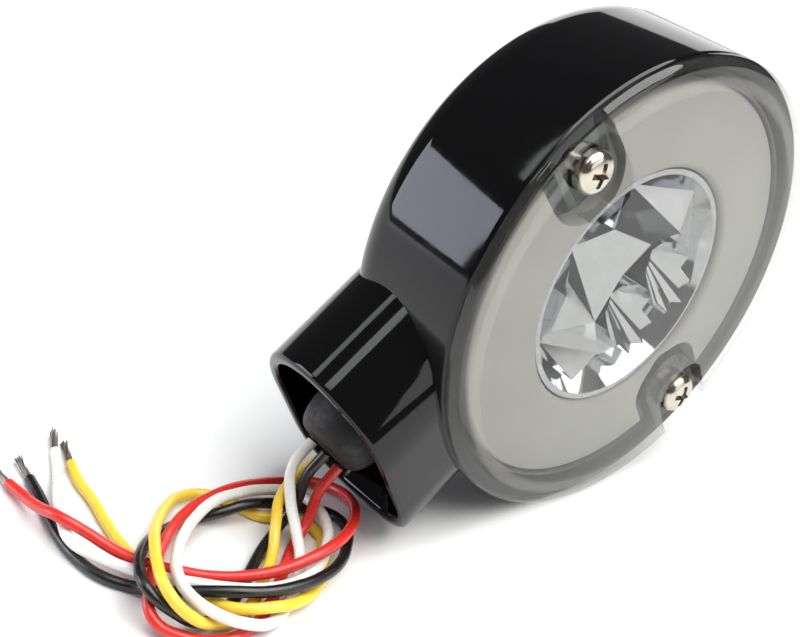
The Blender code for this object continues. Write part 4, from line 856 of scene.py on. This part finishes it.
combine(lens_raw, 'DIFFERENCE', *[pocket(f"pocket_{side}", side, POCKET_HALF, DRUM_RADIUS + LENS_PROUD,
                                         -2 * LENS_PROUD, POCKET_FLOOR) for side in (1, -1)])
combine(lens_raw, 'DIFFERENCE', *[bar(f"hole_{i}", 1.6 * MM, -LENS_RIM, 2 * POCKET_BACK, spot, 32)
                                  for i, spot in enumerate(SCREW_PLACES)])

# Smoked polycarbonate, polished: mostly seen through with a grey cast, under clean reflections
# that strengthen towards its edge. A very slight flow ripple keeps them from being perfect. A
# band over the skirt is finely textured, so that the wall behind it doesn't show.
HAZE = 0.2
CLEAR = bpy.data.materials.new("smoked_clear_plastic")
CLEAR.use_nodes = True
CLEAR.node_tree.nodes.remove(CLEAR.node_tree.nodes["Principled BSDF"])
lens_place = add_node(CLEAR, "ShaderNodeTexCoord", {})
flow = add_node(CLEAR, "ShaderNodeTexNoise", {"Scale": 1 / (9 * MM), "Detail": 1.0},
                {"Vector": lens_place.outputs["Object"]})
ripple = add_node(CLEAR, "ShaderNodeBump", {"Strength": 1.0, "Distance": 0.006 * MM},
                  {"Height": flow.outputs["Fac"]})
smoke = add_node(CLEAR, "ShaderNodeMix", {"data_type": "RGBA", 6: srgb("E9E9E8"), 7: srgb("E5E5E4")},
                 {0: flow.outputs["Fac"]})
through = add_node(CLEAR, "ShaderNodeBsdfTransparent", {}, {"Color": smoke.outputs[2]})
shine = add_node(CLEAR, "ShaderNodeBsdfGlossy", {"Roughness": 0.04}, {"Normal": ripple.outputs["Normal"]})
share = add_node(CLEAR, "ShaderNodeFresnel", {"IOR": 1.58}, {"Normal": ripple.outputs["Normal"]})
inside = add_node(CLEAR, "ShaderNodeNewGeometry", {})
outer = add_node(CLEAR, "ShaderNodeMath", {"operation": 'SUBTRACT', 0: 1.0},
                 {1: inside.outputs["Backfacing"]})
share = add_node(CLEAR, "ShaderNodeMath", {"operation": 'MULTIPLY'},
                 {0: share.outputs[0], 1: outer.outputs[0]})
skin = add_node(CLEAR, "ShaderNodeMixShader", {},
                {0: share.outputs[0], 1: through.outputs[0], 2: shine.outputs[0]})
from_axis = add_node(CLEAR, "ShaderNodeMapping",
                     {"vector_type": 'POINT', "Location": -LIGHT_PLACE.translation},
                     {"Vector": lens_place.outputs["Object"]})
from_axis = add_node(CLEAR, "ShaderNodeVectorMath", {"operation": 'MULTIPLY', 1: (1.0, 0.0, 1.0)},
                     {0: from_axis.outputs[0]})
from_axis = add_node(CLEAR, "ShaderNodeVectorMath", {"operation": 'LENGTH'}, {0: from_axis.outputs[0]})
texture = add_node(CLEAR, "ShaderNodeMapRange", {"interpolation_type": 'SMOOTHSTEP', "From Min": 29.2 * MM,
                                                 "From Max": 30.2 * MM, "To Max": HAZE},
                   {"Value": from_axis.outputs["Value"]})
edge_clear = add_node(CLEAR, "ShaderNodeMapRange", {"interpolation_type": 'SMOOTHSTEP', "From Min": 31.0 * MM,
                                                    "From Max": 31.8 * MM, "To Min": 1.0, "To Max": 0.0},
                      {"Value": from_axis.outputs["Value"]})
haze_share = add_node(CLEAR, "ShaderNodeMath", {"operation": 'MULTIPLY'},
                      {0: texture.outputs["Result"], 1: edge_clear.outputs["Result"]})
haze = add_node(CLEAR, "ShaderNodeBsdfDiffuse", {"Color": srgb("C4C2BB"), "Roughness": 0.5})
hazed = add_node(CLEAR, "ShaderNodeMixShader", {},
                 {0: haze_share.outputs[0], 1: skin.outputs[0], 2: haze.outputs[0]})
CLEAR.node_tree.links.new(hazed.outputs[0], CLEAR.node_tree.nodes["Material Output"].inputs["Surface"])
cover = settled(lens_raw, "lens_cover", CLEAR, 30)
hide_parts("lens")


# ---- Lens screws ----
# Two nickel plated steel pan-head screws with a cross recess, M3 heads 6 mm across, driven
# through the pockets' floors into the housing's posts.
HEAD_RADIUS = 3.0 * MM
HEAD_HEIGHT = 2.4 * MM
SHANK_RADIUS = 1.25 * MM
SHANK_LENGTH = 11.5 * MM


def cross_ring(spot, depth, blade, reach):
    """The outline of a cross recess at one depth."""
    turns = [(blade, blade), (blade, reach), (-blade, reach), (-blade, blade),
             (-reach, blade), (-reach, -blade), (-blade, -blade), (-blade, -reach),
             (blade, -reach), (blade, -blade), (reach, -blade), (reach, blade)]
    return [(spot[0] + (x + z) * sqrt(0.5), depth, spot[1] + (z - x) * sqrt(0.5)) for x, z in turns]


for number, spot in enumerate(SCREW_PLACES, 1):
    seat = POCKET_FLOOR - 0.3 * MM
    top = seat - HEAD_HEIGHT
    # Pan head: a short upright rim, a tight shoulder and a gently domed top.
    profile = [(0.0, seat + SHANK_LENGTH), (SHANK_RADIUS * 0.5, seat + SHANK_LENGTH - 0.3 * MM)]
    for turn in range(20, 0, -1):
        foot = seat + turn * 0.5 * MM
        profile += [(SHANK_RADIUS - 0.25 * MM, foot), (SHANK_RADIUS, foot - 0.25 * MM)]
    profile += [(SHANK_RADIUS - 0.1 * MM, seat), (HEAD_RADIUS - 0.1 * MM, seat),
                (HEAD_RADIUS, seat - 0.1 * MM)]
    profile += arc((HEAD_RADIUS - 1.3 * MM, top + 1.55 * MM), 1.3 * MM, 0, -75, 9)
    profile += [((HEAD_RADIUS - 0.98 * MM) * part, top + 0.3 * MM * part ** 2)
                for part in (0.8, 0.6, 0.4, 0.2, 0.0)]
    screw = turned(f"screw_{number}", profile, 64, middle=spot)
    recess = shape("recess", [cross_ring(spot, top - 1 * MM, 0.42 * MM, 1.95 * MM),
                              cross_ring(spot, top + 0.1 * MM, 0.4 * MM, 1.75 * MM),
                              cross_ring(spot, top + 1.5 * MM, 0.3 * MM, 0.75 * MM)], capped=True)
    combine(screw, 'DIFFERENCE', recess)
    driven = settled(screw, f"lens_screw_{number}_pan", NICKEL, 35)
    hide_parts(f"lens_screw_{number}")


# ---- Studio ----
# A plain pale table top under a broad soft light, with smaller soft boxes beside it.
floor_form = bmesh.new()
bmesh.ops.create_grid(floor_form, x_segments=1, y_segments=1, size=2.5)
floor_mesh = bpy.data.meshes.new("table_top")
floor_form.to_mesh(floor_mesh)
floor_form.free()
FLOOR_FINISH, floor_shader = new_finish("matt_white_laminate", "F4F4F3", 0.7)
mottle(FLOOR_FINISH, floor_shader, 30 * MM, "F5F5F4", "F2F2F1", 0.65, 0.75)
floor_mesh.materials.append(FLOOR_FINISH)
table_top = bpy.data.objects.new("table_top", floor_mesh)
bpy.context.scene.collection.objects.link(table_top)
table_top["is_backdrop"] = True

world = bpy.data.worlds.new("studio")
world.use_nodes = True
world.node_tree.nodes["Background"].inputs["Color"].default_value = srgb("F3F4F8")
world.node_tree.nodes["Background"].inputs["Strength"].default_value = 0.12
bpy.context.scene.world = world
bpy.context.scene.view_settings.view_transform = 'Standard'


def soft_box(name, towards, distance, width, height, radiance, colour="FFFFFF", along=(1.0, 0.0, 0.0)):
    """An evenly bright soft box that faces the light from a direction, its width along a direction."""
    data = bpy.data.lights.new(name, 'AREA')
    data.shape = 'RECTANGLE'
    data.size = width
    data.size_y = height
    data.energy = radiance * pi * width * height
    data.color = srgb(colour)[:3]
    box = bpy.data.objects.new(name, data)
    bpy.context.scene.collection.objects.link(box)
    out = Vector(towards).normalized()
    side = (Vector(along) - Vector(along).dot(out) * out).normalized()
    frame_axes = Matrix((side, out.cross(side), out)).transposed()
    box.location = Vector((0.0, 0.0, 0.03)) + out * distance
    box.rotation_euler = frame_axes.to_euler()


STEM_AXIS = (cos(REST_TILT), 0.0, sin(REST_TILT))
soft_box("overhead_soft_box", (0.18, -0.35, 1.0), 0.75, 0.8, 0.8, 5.6)
soft_box("left_soft_box", (-0.74, 0.62, 0.24), 0.75, 0.36, 0.36, 6.5, "E4E4F4", (0.62, 0.74, 0.0))
soft_box("stem_strip_back", (-0.46, 0.38, 0.80), 0.7, 0.34, 0.08, 3.6, "EEF4F0", STEM_AXIS)
soft_box("stem_strip_front", (-0.49, -0.02, 0.87), 0.7, 0.34, 0.12, 4.2, "EEF4F0", STEM_AXIS)
soft_box("right_soft_box", (0.78, 0.58, 0.20), 0.8, 0.50, 0.34, 1.8, "FFFFFF", (0.58, -0.78, 0.0))
soft_box("front_soft_box", (0.3, -1.0, 0.35), 0.8, 0.7, 0.4, 1.6)

low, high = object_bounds()
